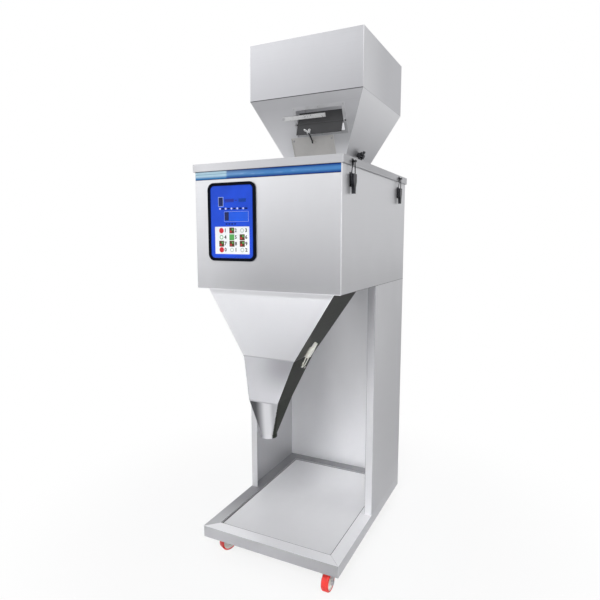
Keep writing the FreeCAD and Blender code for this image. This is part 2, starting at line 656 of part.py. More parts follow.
cover_high = window_low + frame_border + cover_gap
cover = block((cover_left, cover_right), (-cover_low, -cover_high), (0, cover_thickness))
for edge_x in (cover_left, cover_right - cover_thickness):
    cover = cover.fuse(block((edge_x, edge_x + cover_thickness), (-cover_low, -cover_high), (0, cover_lip)))
lug_half = stay_radius + running_gap
for start in (stay_x - lug_half - ear_thickness, stay_x + lug_half):
    lug = block((start, start + ear_thickness), (-stay_foot - stay_eye_radius, -stay_foot + stay_eye_radius),
                (cover_thickness, stay_foot_height + stay_pin_radius + 2))
    cover = cover.fuse(lug)
lug_pin = cylinder(stay_pin_radius, 2 * (lug_half + ear_thickness),
                   Vector(stay_x - lug_half - ear_thickness, -stay_foot, stay_foot_height), ALONG_X)
solid_piece("valve_cover_plate", cover.fuse(lug_pin).removeSplitter(), slope_frame)

stay = cylinder(stay_radius, stay_length, Vector(0, 0, 0), ALONG_Y)
stay = stay.fuse(cylinder(stay_eye_radius, 2 * stay_radius, Vector(-stay_radius, 0, 0), ALONG_X))
stay = stay.cut(cylinder(stay_pin_radius + pivot_gap, 20, Vector(-10, 0, 0), ALONG_X)).removeSplitter()
stay_place = on_slope(stay_x, stay_foot, stay_foot_height, stay_lean)
solid_piece("valve_stay", stay, stay_place)

nut_hub = Part.makeCone(6, 4.5, 8, Vector(0, wing_nut_place, 0), ALONG_Y)
wings = []
for side in (-1, 1):
    wing = prism([Vector(side * 3, wing_nut_place + 1, -wing_thickness / 2),
                  Vector(side * 6, wing_nut_place + 0.5, -wing_thickness / 2),
                  Vector(side * wing_span / 2, wing_nut_place + wing_height * 0.6, -wing_thickness / 2),
                  Vector(side * wing_span / 2 - side * 2, wing_nut_place + wing_height, -wing_thickness / 2),
                  Vector(side * 6.5, wing_nut_place + wing_height * 0.8, -wing_thickness / 2),
                  Vector(side * 3, wing_nut_place + 6, -wing_thickness / 2)], wing_thickness, OUT)
    wings.append(wing)
nut_bore = cylinder(stay_radius + pivot_gap, wing_nut_place + 20, Vector(0, 0, 0), ALONG_Y)
wing_nut = nut_hub.fuse(wings).cut(nut_bore)
solid_piece("wing_nut", wing_nut.removeSplitter(), stay_place)


# Gate knob: a star knob on a shouldered stud, low on the hopper's right slope

knob_y = size("knob_y", 132)
knob_drop = size("knob_drop", 197)
stud_boss_radius = size("stud_boss_radius", 9)
stud_boss_height = size("stud_boss_height", 5)
stud_radius = size("stud_radius", 4)
stud_length = size("stud_length", 22)
knob_hub_radius = size("knob_hub_radius", 10)
knob_height = size("knob_height", 15)
lobe_radius = size("lobe_radius", 5)
lobe_reach = size("lobe_reach", 16)
lobe_count = 5

side_run = hopper_width / 2 - neck_width / 2
side_length = math.hypot(side_run, hopper_slope_height)
side_axes = Rotation(ALONG_Y, Vector(side_run / side_length, 0, hopper_slope_height / side_length),
                     Vector(hopper_slope_height / side_length, 0, -side_run / side_length), "XYZ")
side_frame = Placement(Vector(hopper_width / 2, 0, slope_top), side_axes)
knob_place = side_frame.multiply(Placement(Vector(knob_y, -knob_drop, 0), Rotation()))
knob_stud = cylinder(stud_boss_radius, stud_boss_height, Vector(0, 0, 0), OUT)
knob_stud = knob_stud.fuse(cylinder(stud_radius, stud_length, Vector(0, 0, 0), OUT)).removeSplitter()
solid_piece("knob_stud", knob_stud, knob_place)

knob_base = stud_boss_height + running_gap
lobes = []
for k in range(lobe_count):
    turn = 2 * math.pi * k / lobe_count
    tip = Vector(lobe_reach * math.cos(turn), lobe_reach * math.sin(turn), knob_base + knob_height / 2)
    across = Vector(-math.sin(turn), math.cos(turn), 0) * (lobe_radius * 0.6)
    corners = [across + OUT * tip.z, tip + across, tip - across, OUT * tip.z - across]
    arm = prism(corners, knob_height / 2, OUT)
    lobes += [arm, cylinder(lobe_radius, knob_height / 2, tip, OUT)]
knob = cylinder(knob_hub_radius, knob_height, OUT * knob_base, OUT).fuse(lobes)
knob_bore = cylinder(stud_radius + pivot_gap, stud_length + 1 - knob_base, OUT * knob_base, OUT)
cap = cylinder(knob_hub_radius * 0.8, 5, OUT * (knob_base + knob_height), OUT)
solid_piece("star_knob", knob.fuse(cap).cut(knob_bore).removeSplitter(), knob_place)


# Toggle latches: a riveted plate with two ears, a folded lever, a wire bail and a hook. In a latch's
# own frame u points out of the panel, w points to the hook and v runs across, from the lever's pivot

latch_plate_half = size("latch_plate_half", 11)
latch_plate_thickness = size("latch_plate_thickness", 1.5)
latch_plate_high = size("latch_plate_high", 8)
latch_plate_low = size("latch_plate_low", 32)
latch_pivot = size("latch_pivot", 8.5)
latch_ear_inner = size("latch_ear_inner", 7)
latch_ear_thickness = size("latch_ear_thickness", 2)
latch_ear_radius = size("latch_ear_radius", 3)
latch_pin_radius = size("latch_pin_radius", 2)
lever_half = size("lever_half", 12)
lever_wall = size("lever_wall", 1.5)
lever_near = size("lever_near", 4)
lever_far = size("lever_far", 14)
lever_high = size("lever_high", 3.5)
lever_waist = size("lever_waist", 6)
lever_waist_drop = size("lever_waist_drop", 34)
lever_tip_half = size("lever_tip_half", 3.5)
lever_tip_drop = size("lever_tip_drop", 52)
bail_radius = size("bail_radius", 1.5)
bail_drop = size("bail_drop", 14)
bail_pin = size("bail_pin", 7)
bail_reach = size("bail_reach", 40.8)
bail_side_gap = size("bail_side_gap", 0.3)
bail_straight = size("bail_straight", 21)
bail_top_half = size("bail_top_half", 8)
bail_hole_gap = size("bail_hole_gap", 0.05)
hook_half = size("hook_half", 6)
hook_low = size("hook_low", 28)
hook_high = size("hook_high", 46)
hook_plate = size("hook_plate", 1.5)
horn_low = size("horn_low", 36)
horn_floor = size("horn_floor", 39)
lip_height = size("lip_height", 3.2)
lip_gap = size("lip_gap", 3.6)
lip_thickness = size("lip_thickness", 1.2)
lid_latch_front = size("lid_latch_front", -266)
lid_latch_back = size("lid_latch_back", 225)
lid_latch_drop = size("lid_latch_drop", 51)
funnel_latch_y = size("funnel_latch_y", -240)
funnel_latch_rise = size("funnel_latch_rise", 12)


def latch_plate():
    plate = block((0, latch_plate_thickness), (-latch_plate_half, latch_plate_half),
                  (-latch_plate_low, latch_plate_high))
    for start in (latch_ear_inner, -latch_ear_inner - latch_ear_thickness):
        ear = block((latch_plate_thickness, latch_pivot), (start, start + latch_ear_thickness),
                    (-latch_ear_radius, latch_ear_radius))
        tip = cylinder(latch_ear_radius, latch_ear_thickness, Vector(latch_pivot, start, 0), ALONG_Y)
        plate = plate.fuse([ear, tip])
    pin = cylinder(latch_pin_radius, 2 * lever_half, Vector(latch_pivot, -lever_half, 0), ALONG_Y)
    return plate.fuse(pin).removeSplitter()


def lever_outline(inset, top):
    """The lever's front outline, wide at the pivot and tapering to a narrow thumb tab."""
    right = [(lever_half - inset, top), (lever_half - inset, -bail_drop - bail_radius - 2),
             (lever_waist - inset, -lever_waist_drop), (lever_tip_half - inset, -lever_tip_drop + inset)]
    left = [(-v, w) for v, w in reversed(right)]
    return right + left


def latch_lever():
    skin = prism([Vector(lever_near, v, w) for v, w in lever_outline(0, lever_high)],
                 lever_far - lever_near, ALONG_X)
    hollow = prism([Vector(lever_near - 1, v, w) for v, w in lever_outline(lever_wall, lever_high + 1)],
                   lever_far - lever_near - lever_wall + 1, ALONG_X)
    lever = skin.cut(hollow)
    pivot_bore = cylinder(latch_pin_radius + pivot_gap, 4 * lever_half,
                          Vector(latch_pivot, -2 * lever_half, 0), ALONG_Y)
    bail_bore = cylinder(bail_radius + bail_hole_gap, 4 * lever_half,
                         Vector(bail_pin, -2 * lever_half, -bail_drop), ALONG_Y)
    return lever.cut(pivot_bore).cut(bail_bore)


def latch_bail(bar_height):
    """The wire loop, from its two in-turned ends up to the crossbar held bar_height off the panel."""
    side = lever_half + bail_side_gap + bail_radius
    inner = lever_half - lever_wall - 1
    rise = (bar_height - bail_pin) * bail_straight / (bail_reach + bail_drop)
    half = [(bail_pin, inner, -bail_drop), (bail_pin, side, -bail_drop),
            (bail_pin + rise, side, bail_straight - bail_drop), (bar_height, bail_top_half, bail_reach)]
    corners = [Vector(u, -v, w) for u, v, w in half] + [Vector(u, v, w) for u, v, w in reversed(half)]
    wire = []
    for start, end in zip(corners, corners[1:]):
        wire.append(cylinder(bail_radius, (end - start).Length, start, end - start))
    joints = [Part.makeSphere(bail_radius, corner) for corner in corners[1:-1]]
    return wire[0].fuse(wire[1:] + joints).removeSplitter()


def latch_hook(face_low, face_high, bar_height):
    """The hook: face_low and face_high give the height of the panel it lies on at its two ends."""
    slope = (face_high - face_low) / (hook_high - hook_low)

    def face(w):
        return face_low + slope * (w - hook_low)

    lip = bar_height + bail_radius + lip_gap
    profile = [Vector(face(hook_low), -hook_half, hook_low),
               Vector(face(hook_low) + hook_plate, -hook_half, hook_low),
               Vector(face(horn_low) + hook_plate, -hook_half, horn_low),
               Vector(lip + lip_thickness, -hook_half, horn_low),
               Vector(lip + lip_thickness, -hook_half, horn_floor + lip_height),
               Vector(lip, -hook_half, horn_floor + lip_height),
               Vector(lip, -hook_half, horn_floor),
               Vector(face(horn_floor) + hook_plate, -hook_half, horn_floor),
               Vector(face(hook_high) + hook_plate, -hook_half, hook_high),
               Vector(face(hook_high), -hook_half, hook_high)]
    return prism(profile, 2 * hook_half, ALONG_Y)


lid_bar_height = lid_overhang + hook_plate + bail_radius + 1.2
latch_sites = []
for side in (1, -1):
    for y in (lid_latch_front, lid_latch_back):
        turn = Rotation(UP, 0 if side > 0 else 180)
        place = Placement(Vector(side * half_width, y, lid_top - lid_latch_drop), turn)
        latch_sites.append((place, lid_bar_height, latch_hook(lid_overhang, lid_overhang, lid_bar_height)))


# Funnel: a tapering hood welded under the body, and the removable outlet that hangs from it on two
# latches and changes from a square to a round spout

funnel_wall = size("funnel_wall", 1.5)
funnel_height = size("funnel_height", 214)
seam_half = size("seam_half", 90.6)
seam_back = size("seam_back", -166)
outlet_height = size("outlet_height", 128)
outlet_half = size("outlet_half", 52)
outlet_front = size("outlet_front", -346)
outlet_back = size("outlet_back", -245)
fold_radius = size("fold_radius", 3)
spout_drop = size("spout_drop", 111)
spout_y = size("spout_y", -310)
spout_radius = size("spout_radius", 26)
spout_length = size("spout_length", 12)
spout_flat_angle = size("spout_flat_angle", 3)

seam_z = body_bottom - funnel_height
bend_z = seam_z - outlet_height
spout_top = bend_z - spout_drop
spout_end = spout_top - spout_length

funnel = new_body("funnel")
funnel_plan = [("sizes.funnel_top_half", "sizes.funnel_front", "sizes.funnel_top_back", BODY_BOTTOM),
               ("sizes.seam_half", "sizes.funnel_front", "sizes.seam_back",
                f"{BODY_BOTTOM} - sizes.funnel_height")]
loft(funnel, "Additive", ring_of_four(funnel, "funnel_outside", funnel_plan, "0"))
loft(funnel, "Subtractive", ring_of_four(funnel, "funnel_inside", funnel_plan, "sizes.funnel_wall"))


def square_section(half, front, back, z, inset):
    """Four straight sides and four small corner arcs, from the front side round to the left one."""
    half, front, back = half - inset, front + inset, back - inset
    radius = max(fold_radius - inset, 0.5)
    corners = [(half, front, -1, 1), (half, back, -1, -1), (-half, back, 1, -1), (-half, front, 1, 1)]
    edges = []
    start = Vector(-half + radius, front, z)
    for i, (x, y, inward_x, inward_y) in enumerate(corners):
        along_side = i % 2 == 0
        before = Vector(x + inward_x * radius, y, z) if along_side else Vector(x, y + inward_y * radius, z)
        after = Vector(x, y + inward_y * radius, z) if along_side else Vector(x + inward_x * radius, y, z)
        bow = radius * (1 - math.sqrt(0.5))
        edges.append(Part.LineSegment(start, before).toShape())
        edges.append(Part.Arc(before, Vector(x + inward_x * bow, y + inward_y * bow, z), after).toShape())
        start = after
    return Part.Wire(edges)


def round_section(z, inset):
    """A circle cut into four short arcs, which meet the straight sides, and four long ones."""
    radius = spout_radius - inset
    centre = Vector(0, spout_y, z)

    def at(angle):
        return centre + Vector(math.cos(math.radians(angle)), math.sin(math.radians(angle)), 0) * radius

    edges = []
    for side in range(4):
        middle = -90 + 90 * side
        flat_end = middle + spout_flat_angle
        edges.append(Part.Arc(at(middle - spout_flat_angle), at(middle), at(flat_end)).toShape())
        edges.append(Part.Arc(at(flat_end), at(middle + 45), at(middle + 90 - spout_flat_angle)).toShape())
    return Part.Wire(edges)


def outlet_solid(inset):
    upper = Part.makeLoft([square_section(seam_half, funnel_front, seam_back, seam_z, inset),
                           square_section(outlet_half, outlet_front, outlet_back, bend_z, inset)], True, True)
    lower = Part.makeLoft([square_section(outlet_half, outlet_front, outlet_back, bend_z, inset),
                           round_section(spout_top, inset)], True, True)
    spout = cylinder(spout_radius - inset, spout_length, Vector(0, spout_y, spout_end), UP)
    return upper.fuse([lower, spout])


solid_piece("outlet", outlet_solid(0).cut(outlet_solid(funnel_wall)).removeSplitter())

# The funnel's side latches point the other way: their levers stand up and their hooks are below

funnel_run = funnel_top_half - seam_half
funnel_side = math.hypot(funnel_run, funnel_height)
outlet_tilt = math.atan2(funnel_run, funnel_height) - math.atan2(seam_half - outlet_half, outlet_height)
hook_faces = [math.tan(outlet_tilt) * max(w - funnel_latch_rise, 0) for w in (hook_low, hook_high)]
funnel_bar_height = hook_faces[1] + hook_plate + bail_radius + 1
for side in (1, -1):
    outward = Vector(side * funnel_height / funnel_side, 0, -funnel_run / funnel_side)
    down_slope = Vector(-side * funnel_run / funnel_side, 0, -funnel_height / funnel_side)
    turn = Rotation(outward, down_slope.cross(outward), down_slope, "XYZ")
    seam = Vector(side * seam_half, funnel_latch_y, seam_z)
    place = Placement(seam - down_slope * funnel_latch_rise, turn)
    latch_sites.append((place, funnel_bar_height, latch_hook(*hook_faces, funnel_bar_height)))

plates, hooks = [], []
for i, (place, bar_height, hook) in enumerate(latch_sites):
    plate = latch_plate()
    plate.Placement = place
    plates.append(plate)
    hook.Placement = place
    hooks.append(hook)
    solid_piece(f"latch_lever_{i + 1}", latch_lever(), place)
    solid_piece(f"latch_bail_{i + 1}", latch_bail(bar_height), place)
solid_piece("latch_plates", Part.makeCompound(plates))
solid_piece("latch_hooks", Part.makeCompound(hooks))


# Control panel: a proud black surround, the one-piece keypad sheet inside it and the electronics
# box on the inner face of the same wall

panel_proud = size("panel_proud", 5)
panel_corner = size("panel_corner", 22)
keypad_thickness = size("keypad_thickness", 2.5)
keypad_gap = size("keypad_gap", 0.3)
box_depth = size("box_depth", 36)
box_inset = size("box_inset", 12)

PANEL_RIGHT = "(sizes.panel_left + sizes.panel_width)"
PANEL_TOP = "(sizes.panel_bottom + sizes.panel_height)"
panel_right = panel_left + panel_width
panel_top = panel_bottom + panel_height


def corner_edges(inset):
    """Picks the edges that run along Y at the panel's four corners."""
    spots = [(x, z) for x in (panel_left + inset, panel_right - inset)
             for z in (panel_bottom + inset, panel_top - inset)]

    def chosen(edge):
        ends = [vertex.Point for vertex in edge.Vertexes]
        if len(ends) != 2 or abs(ends[0].x - ends[1].x) > 0.01 or abs(ends[0].z - ends[1].z) > 0.01:
            return False
        return any(abs(ends[0].x - x) < 0.01 and abs(ends[0].z - z) < 0.01 for x, z in spots)

    return chosen


def panel_outline(body, name, height, inset):
    outline = new_sketch(body, name, "XZ_Plane", height)
    draw_rectangle(outline, f"sizes.panel_left + {inset}", f"{PANEL_RIGHT} - {inset}",
                   f"sizes.panel_bottom + {inset}", f"{PANEL_TOP} - {inset}")
    return outline


bezel = new_body("panel_bezel")
pad(bezel, panel_outline(bezel, "bezel_outline", HALF_DEPTH, "0"), "sizes.panel_proud")
bezel_opening = panel_outline(bezel, "bezel_opening", f"{HALF_DEPTH} + sizes.panel_proud",
                              "sizes.panel_border")
pocket(bezel, bezel_opening, "2 * sizes.panel_proud")
round_edges(bezel, "sizes.panel_corner", corner_edges(0))
round_edges(bezel, "sizes.panel_corner - sizes.panel_border", corner_edges(panel_border))

keypad = new_body("keypad_panel")
pad(keypad, panel_outline(keypad, "keypad_outline", HALF_DEPTH, "(sizes.panel_border + sizes.keypad_gap)"),
    "sizes.keypad_thickness")
round_edges(keypad, "sizes.panel_corner - sizes.panel_border - sizes.keypad_gap",
            corner_edges(panel_border + keypad_gap))

control_box = new_body("control_box")
box_back = f"({HALF_DEPTH} - sizes.body_wall - sizes.box_depth)"
pad(control_box, panel_outline(control_box, "control_box_outline", box_back, "sizes.box_inset"),
    "sizes.box_depth")


# Rear service panel with two rows of cooling slots, the mains inlet, the power switch and the
# socket for a foot pedal

service_thickness = size("service_thickness", 1.5)
slot_width = size("slot_width", 4)
slot_height = size("slot_height", 42)
slot_pitch = size("slot_pitch", 12)
slot_margin = size("slot_margin", 30)
slot_count = 9
inlet_inset = size("inlet_inset", 60)
inlet_z = size("inlet_z", 1065)
inlet_width = size("inlet_width", 28)
inlet_height = size("inlet_height", 20)
inlet_flange = size("inlet_flange", 5)
inlet_flange_thickness = size("inlet_flange_thickness", 2.5)
inlet_depth = size("inlet_depth", 22)
inlet_wall = size("inlet_wall", 2)
switch_inset = size("switch_inset", 88)
switch_width = size("switch_width", 15)
switch_height = size("switch_height", 25)
rocker_gap = size("rocker_gap", 0.4)
rocker_angle = size("rocker_angle", 8)
rocker_pin_radius = size("rocker_pin_radius", 1.5)
rocker_pin_reach = size("rocker_pin_reach", 1.4)
socket_x = size("socket_x", 0)
socket_radius = size("socket_radius", 9)
socket_length = size("socket_length", 12)
back_face = half_depth
panel_face = back_face + service_thickness
inlet_x = service_width / 2 - inlet_inset
switch_x = service_width / 2 - switch_inset

service = new_body("rear_panel")
service_outline = new_sketch(service, "service_outline", "XZ_Plane", f"-({HALF_DEPTH})")
draw_rectangle(service_outline, "-sizes.service_width / 2", "sizes.service_width / 2", "sizes.service_bottom",
               "sizes.service_bottom + sizes.service_height")
service_pad = pad(service, service_outline, "sizes.service_thickness")
service_pad.Reversed = True
document.recompute()
slots = new_sketch(service, "cooling_slots", "XZ_Plane", f"-({HALF_DEPTH})")
for row_side in (-1, 1):
    for k in range(slot_count):
        low = "sizes.service_bottom + sizes.service_height - sizes.slot_margin - sizes.slot_height"
        x = f"{row_side} * (sizes.slot_margin + {k} * sizes.slot_pitch)"
        draw_rectangle(slots, f"{x} - sizes.slot_width / 2", f"{x} + sizes.slot_width / 2",
                       low, f"{low} + sizes.slot_height")
pocket(service, slots, "2 * sizes.service_thickness")
cuts = new_sketch(service, "fitting_cuts", "XZ_Plane", f"-({HALF_DEPTH})")
draw_rectangle(cuts, "sizes.service_width / 2 - sizes.switch_inset - sizes.switch_width / 2",
               "sizes.service_width / 2 - sizes.inlet_inset + sizes.inlet_width / 2",
               "sizes.inlet_z - sizes.switch_height / 2", "sizes.inlet_z + sizes.switch_height / 2")
draw_circle(cuts, "sizes.socket_x", "sizes.inlet_z", "sizes.socket_radius")
pocket(service, cuts, "2 * sizes.service_thickness")


def fitting_box(x, z, low, high, grow=0.0):
    """A block on the rear panel, x and z wide, from low to high behind its outer face."""
    return block((x[0] - grow, x[1] + grow), (panel_face + low, panel_face + high),
                 (z[0] - grow, z[1] + grow))


moulding_x = (switch_x - switch_width / 2, inlet_x + inlet_width / 2)
moulding_z = (inlet_z - switch_height / 2, inlet_z + switch_height / 2)
inlet = fitting_box(moulding_x, moulding_z, -inlet_depth, 0, -stem_gap)
inlet = inlet.fuse(fitting_box(moulding_x, moulding_z, 0, inlet_flange_thickness, inlet_flange))
for middle, width, height in ((inlet_x, inlet_width, inlet_height), (switch_x, switch_width, switch_height)):
    mouth_x = (middle - width / 2, middle + width / 2)
    mouth_z = (inlet_z - height / 2, inlet_z + height / 2)
    inlet = inlet.cut(fitting_box(mouth_x, mouth_z, inlet_wall + 3 - inlet_depth,
                                  2 * inlet_flange_thickness, -inlet_wall))
for offset_x, offset_z in ((-7, -2), (0, 3), (7, -2)):
    pin_x = (inlet_x + offset_x - 1, inlet_x + offset_x + 1)
    pin_z = (inlet_z + offset_z - 2, inlet_z + offset_z + 2)
    inlet = inlet.fuse(fitting_box(pin_x, pin_z, inlet_wall - inlet_depth, -2))
rocker_half = switch_height / 2 - inlet_wall - rocker_gap
rocker_across = switch_width / 2 - inlet_wall - rocker_gap
pin_half = rocker_across + rocker_gap + rocker_pin_reach
rocker_y = panel_face + inlet_flange_thickness / 2
pin_bore = cylinder(rocker_pin_radius + pivot_gap, 2 * pin_half + 1,
                    Vector(switch_x - pin_half - 0.5, rocker_y, inlet_z), ALONG_X)
solid_piece("power_inlet", inlet.cut(pin_bore).removeSplitter())

rocker_profile = [Vector(-rocker_across, -5, -3), Vector(-rocker_across, 2, -rocker_half * 0.93),
                  Vector(-rocker_across, 3.6, -rocker_half * 0.93), Vector(-rocker_across, 1.6, 0),
                  Vector(-rocker_across, 3.6, rocker_half * 0.93),
                  Vector(-rocker_across, 2, rocker_half * 0.93),
                  Vector(-rocker_across, -5, 3)]
rocker_pin = cylinder(rocker_pin_radius, 2 * pin_half, ALONG_X * -pin_half, ALONG_X)
rocker = prism(rocker_profile, 2 * rocker_across, ALONG_X).fuse(rocker_pin).removeSplitter()
rocker_place = Placement(Vector(switch_x, rocker_y, inlet_z), Rotation(ALONG_X, rocker_angle))
solid_piece("power_rocker", rocker, rocker_place)

barrel = cylinder(socket_radius - stem_gap, socket_length,
                  Vector(socket_x, panel_face - socket_length, inlet_z), ALONG_Y)
ring = cylinder(socket_radius + 3, 3, Vector(socket_x, panel_face, inlet_z), ALONG_Y)
socket_bore = cylinder(socket_radius - 3, socket_length,
                       Vector(socket_x, panel_face - socket_length + 4, inlet_z), ALONG_Y)
solid_piece("foot_switch_socket", barrel.fuse(ring).cut(socket_bore).removeSplitter())


# Weigher inside the body: a vibrating trough on leaf springs, driven by an electromagnet, fills a
# weigh bucket that hangs on a load cell and opens two bottom doors together

rail_low = size("rail_low", 1065)
rail_height = size("rail_height", 20)
rail_width = size("rail_width", 40)
rail_front = size("rail_front", -20)
rail_back = size("rail_back", 200)
frame_plate = size("frame_plate", 12)
frame_plate_half = size("frame_plate_half", 120)
frame_plate_front = size("frame_plate_front", -60)
frame_plate_back = size("frame_plate_back", 240)
trough_half = size("trough_half", 100)
trough_front = size("trough_front", -172)
trough_back = size("trough_back", 285)
trough_wall = size("trough_wall", 1.5)
trough_height = size("trough_height", 56)
trough_lip = size("trough_lip", 8)
trough_flare = size("trough_flare", 6)
neck_dip = size("neck_dip", 4)
spring_thickness = size("spring_thickness", 3)
spring_width = size("spring_width", 40)
spring_lean = size("spring_lean", 25)
spring_front = size("spring_front", -20)
spring_back = size("spring_back", 150)
spring_left = size("spring_left", -80)
spring_right = size("spring_right", 40)
clamp_height = size("clamp_height", 12)
clamp_half = size("clamp_half", 8)
magnet_half = size("magnet_half", 35)
magnet_front = size("magnet_front", 60)
magnet_back = size("magnet_back", 120)
magnet_height = size("magnet_height", 35)
coil_height = size("coil_height", 15)
coil_radius = size("coil_radius", 22)
magnet_gap = size("magnet_gap", 4)
armature_half = size("armature_half", 25)
armature_inset = size("armature_inset", 15)
bucket_half = size("bucket_half", 95)
bucket_front = size("bucket_front", -290)
bucket_back = size("bucket_back", -160)
bucket_top = size("bucket_top", 1150)
bucket_height = size("bucket_height", 110)
bucket_wall = size("bucket_wall", 1.2)
door_drop = size("door_drop", 40)
door_thickness = size("door_thickness", 1.5)
door_gap = size("door_gap", 1)
door_rod = size("door_rod", 3)
door_side_gap = size("door_side_gap", 3)
rod_gap = size("rod_gap", 1)
rod_end = size("rod_end", 5)
cell_width = size("cell_width", 25)
cell_x = size("cell_x", -150)
cell_inset = size("cell_inset", 5)
cell_rise = size("cell_rise", 6)
riser_depth = size("riser_depth", 30)
hanger_depth = size("hanger_depth", 30)
hanger_drop = size("hanger_drop", 16)

neck_bottom = lid_top - neck_drop
trough_top = neck_bottom + neck_dip
trough_floor = trough_top - trough_height
frame_top = rail_low + rail_height + frame_plate
wall_inside = half_width - body_wall
cell_front = bucket_front + cell_inset
cell_back = bucket_back + cell_inset
cell_low = bucket_top + cell_rise
magnet_top = frame_top + magnet_height
coil_top = magnet_top + coil_height
magnet_middle = (magnet_front + magnet_back) / 2

rails = [block((-wall_inside, wall_inside), (y - rail_width / 2, y + rail_width / 2),
               (rail_low, rail_low + rail_height))
         for y in (rail_front, rail_back)]
bed = block((-frame_plate_half, frame_plate_half), (frame_plate_front, frame_plate_back),
            (rail_low + rail_height, frame_top))
arm = block((cell_x, cell_x + cell_width), (cell_back - riser_depth, rail_front + rail_width / 2),
            (rail_low, rail_low + rail_height))
riser = block((cell_x, cell_x + cell_width), (cell_back - riser_depth, cell_back), (rail_low, cell_low))
inner_frame = rails[0].fuse([rails[1], bed, arm, riser]).removeSplitter()
solid_piece("inner_frame", inner_frame)

magnet = block((-magnet_half, magnet_half), (magnet_front, magnet_back), (frame_top, magnet_top))
coil = cylinder(coil_radius, coil_height, Vector(0, magnet_middle, magnet_top), UP)
solid_piece("feeder_magnet", magnet.fuse(coil).removeSplitter())
outer = [(trough_half - trough_flare, trough_floor), (trough_half, trough_top - trough_wall),
         (trough_half + trough_lip, trough_top - trough_wall), (trough_half + trough_lip, trough_top)]
inner = [(trough_half - trough_wall, trough_top),
         (trough_half - trough_flare - trough_wall, trough_floor + trough_wall)]
right = outer + inner
left = [(-x, z) for x, z in reversed(right)]
channel = prism([Vector(x, trough_front, z) for x, z in right + left], trough_back - trough_front, ALONG_Y)
end_corners = [outer[0], (trough_half, trough_top)]
end_corners += [(-x, z) for x, z in reversed(end_corners)]
end_plate = prism([Vector(x, trough_back - trough_wall, z) for x, z in end_corners], trough_wall, ALONG_Y)
trough = channel.fuse(end_plate)
spring_top = trough_floor - clamp_height
armature = block((-armature_half, armature_half),
                 (magnet_middle - armature_inset, magnet_middle + armature_inset),
                 (coil_top + magnet_gap, trough_floor))
spring_sites = [(x, y) for y in (spring_front, spring_back) for x in (spring_left, spring_right)]
clamps = [block((x, x + spring_width), (y + spring_lean - clamp_half, y + spring_lean + clamp_half),
                (spring_top, trough_floor))
          for x, y in spring_sites]
solid_piece("feeder_trough", trough.fuse([armature] + clamps).removeSplitter())
springs = []
for x, y in spring_sites:
    foot = [Vector(x, y, frame_top), Vector(x, y + spring_thickness, frame_top),
            Vector(x, y + spring_lean + spring_thickness, spring_top), Vector(x, y + spring_lean, spring_top)]
    springs.append(prism(foot, spring_width, ALONG_X))
solid_piece("feeder_springs", Part.makeCompound(springs))

bucket_low = bucket_top - bucket_height
bucket = block((-bucket_half, bucket_half), (bucket_front, bucket_back), (bucket_low, bucket_top))
bucket = bucket.cut(block((-bucket_half + bucket_wall, bucket_half - bucket_wall),
                          (bucket_front + bucket_wall, bucket_back - bucket_wall),
                          (bucket_low - 1, bucket_top + 1)))
rod_z = bucket_low - door_rod - rod_gap
for x in (-bucket_half, bucket_half - bucket_wall):
    for y in (bucket_front, bucket_back - 4 * door_rod):
        lug = block((x, x + bucket_wall), (y, y + 4 * door_rod), (rod_z - 2 * door_rod, bucket_low))
        bucket = bucket.fuse(lug)
rod_sites = (bucket_front + 2 * door_rod, bucket_back - 2 * door_rod)
for y in rod_sites:
    rod_bore = cylinder(door_rod + pivot_gap, 3 * bucket_half, Vector(-1.5 * bucket_half, y, rod_z), ALONG_X)
    bucket = bucket.cut(rod_bore)
solid_piece("weigh_bucket", bucket.removeSplitter())

bucket_middle = (bucket_front + bucket_back) / 2
for name, y in zip(("bucket_door_front", "bucket_door_back"), rod_sites):
    toward = 1 if y < bucket_middle else -1
    reach = abs(bucket_middle - y) - door_gap
    leaf_half = bucket_half - door_side_gap
    leaf = prism([Vector(-leaf_half, y, rod_z - door_thickness), Vector(-leaf_half, y, rod_z),
                  Vector(-leaf_half, y + toward * reach, rod_z - door_drop),
                  Vector(-leaf_half, y + toward * reach, rod_z - door_drop - door_thickness)],
                 2 * leaf_half, ALONG_X)
    rod_half = bucket_half + rod_end
    rod = cylinder(door_rod, 2 * rod_half, Vector(-rod_half, y, rod_z), ALONG_X)
    solid_piece(name, leaf.fuse(rod).removeSplitter())

cell = block((cell_x, cell_x + cell_width), (cell_front, cell_back), (cell_low, cell_low + cell_width))
solid_piece("load_cell", cell)
hanger = block((cell_x, -bucket_half), (cell_front, cell_front + hanger_depth),
               (bucket_top - hanger_drop, cell_low))
solid_piece("bucket_hanger", hanger)


# Every piece moves back together, so that the origin lies under the middle of the outline

outline_front = min(outlet_front, -half_depth - lid_overhang)
outline_back = hopper_centre + hopper_depth / 2
centring = Placement(Vector(0, -(outline_front + outline_back) / 2, 0), Rotation())
document.recompute()
for piece in pieces:
    piece.Placement = centring.multiply(piece.Placement)
document.recompute()

for feature in document.Objects:
    if "Invalid" in feature.State or "Error" in feature.State:
        raise ValueError(f"{feature.Label} failed")
for piece in pieces:
    if piece.Shape.isNull() or not piece.Shape.isValid():
        raise ValueError(f"{piece.Label} has no valid shape")

os.makedirs("parts", exist_ok=True)
for piece in pieces:
    piece.Shape.exportStep(f"parts/{piece.Label}.step")
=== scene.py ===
import math

import bmesh
import bpy
from mathutils import Matrix, Vector


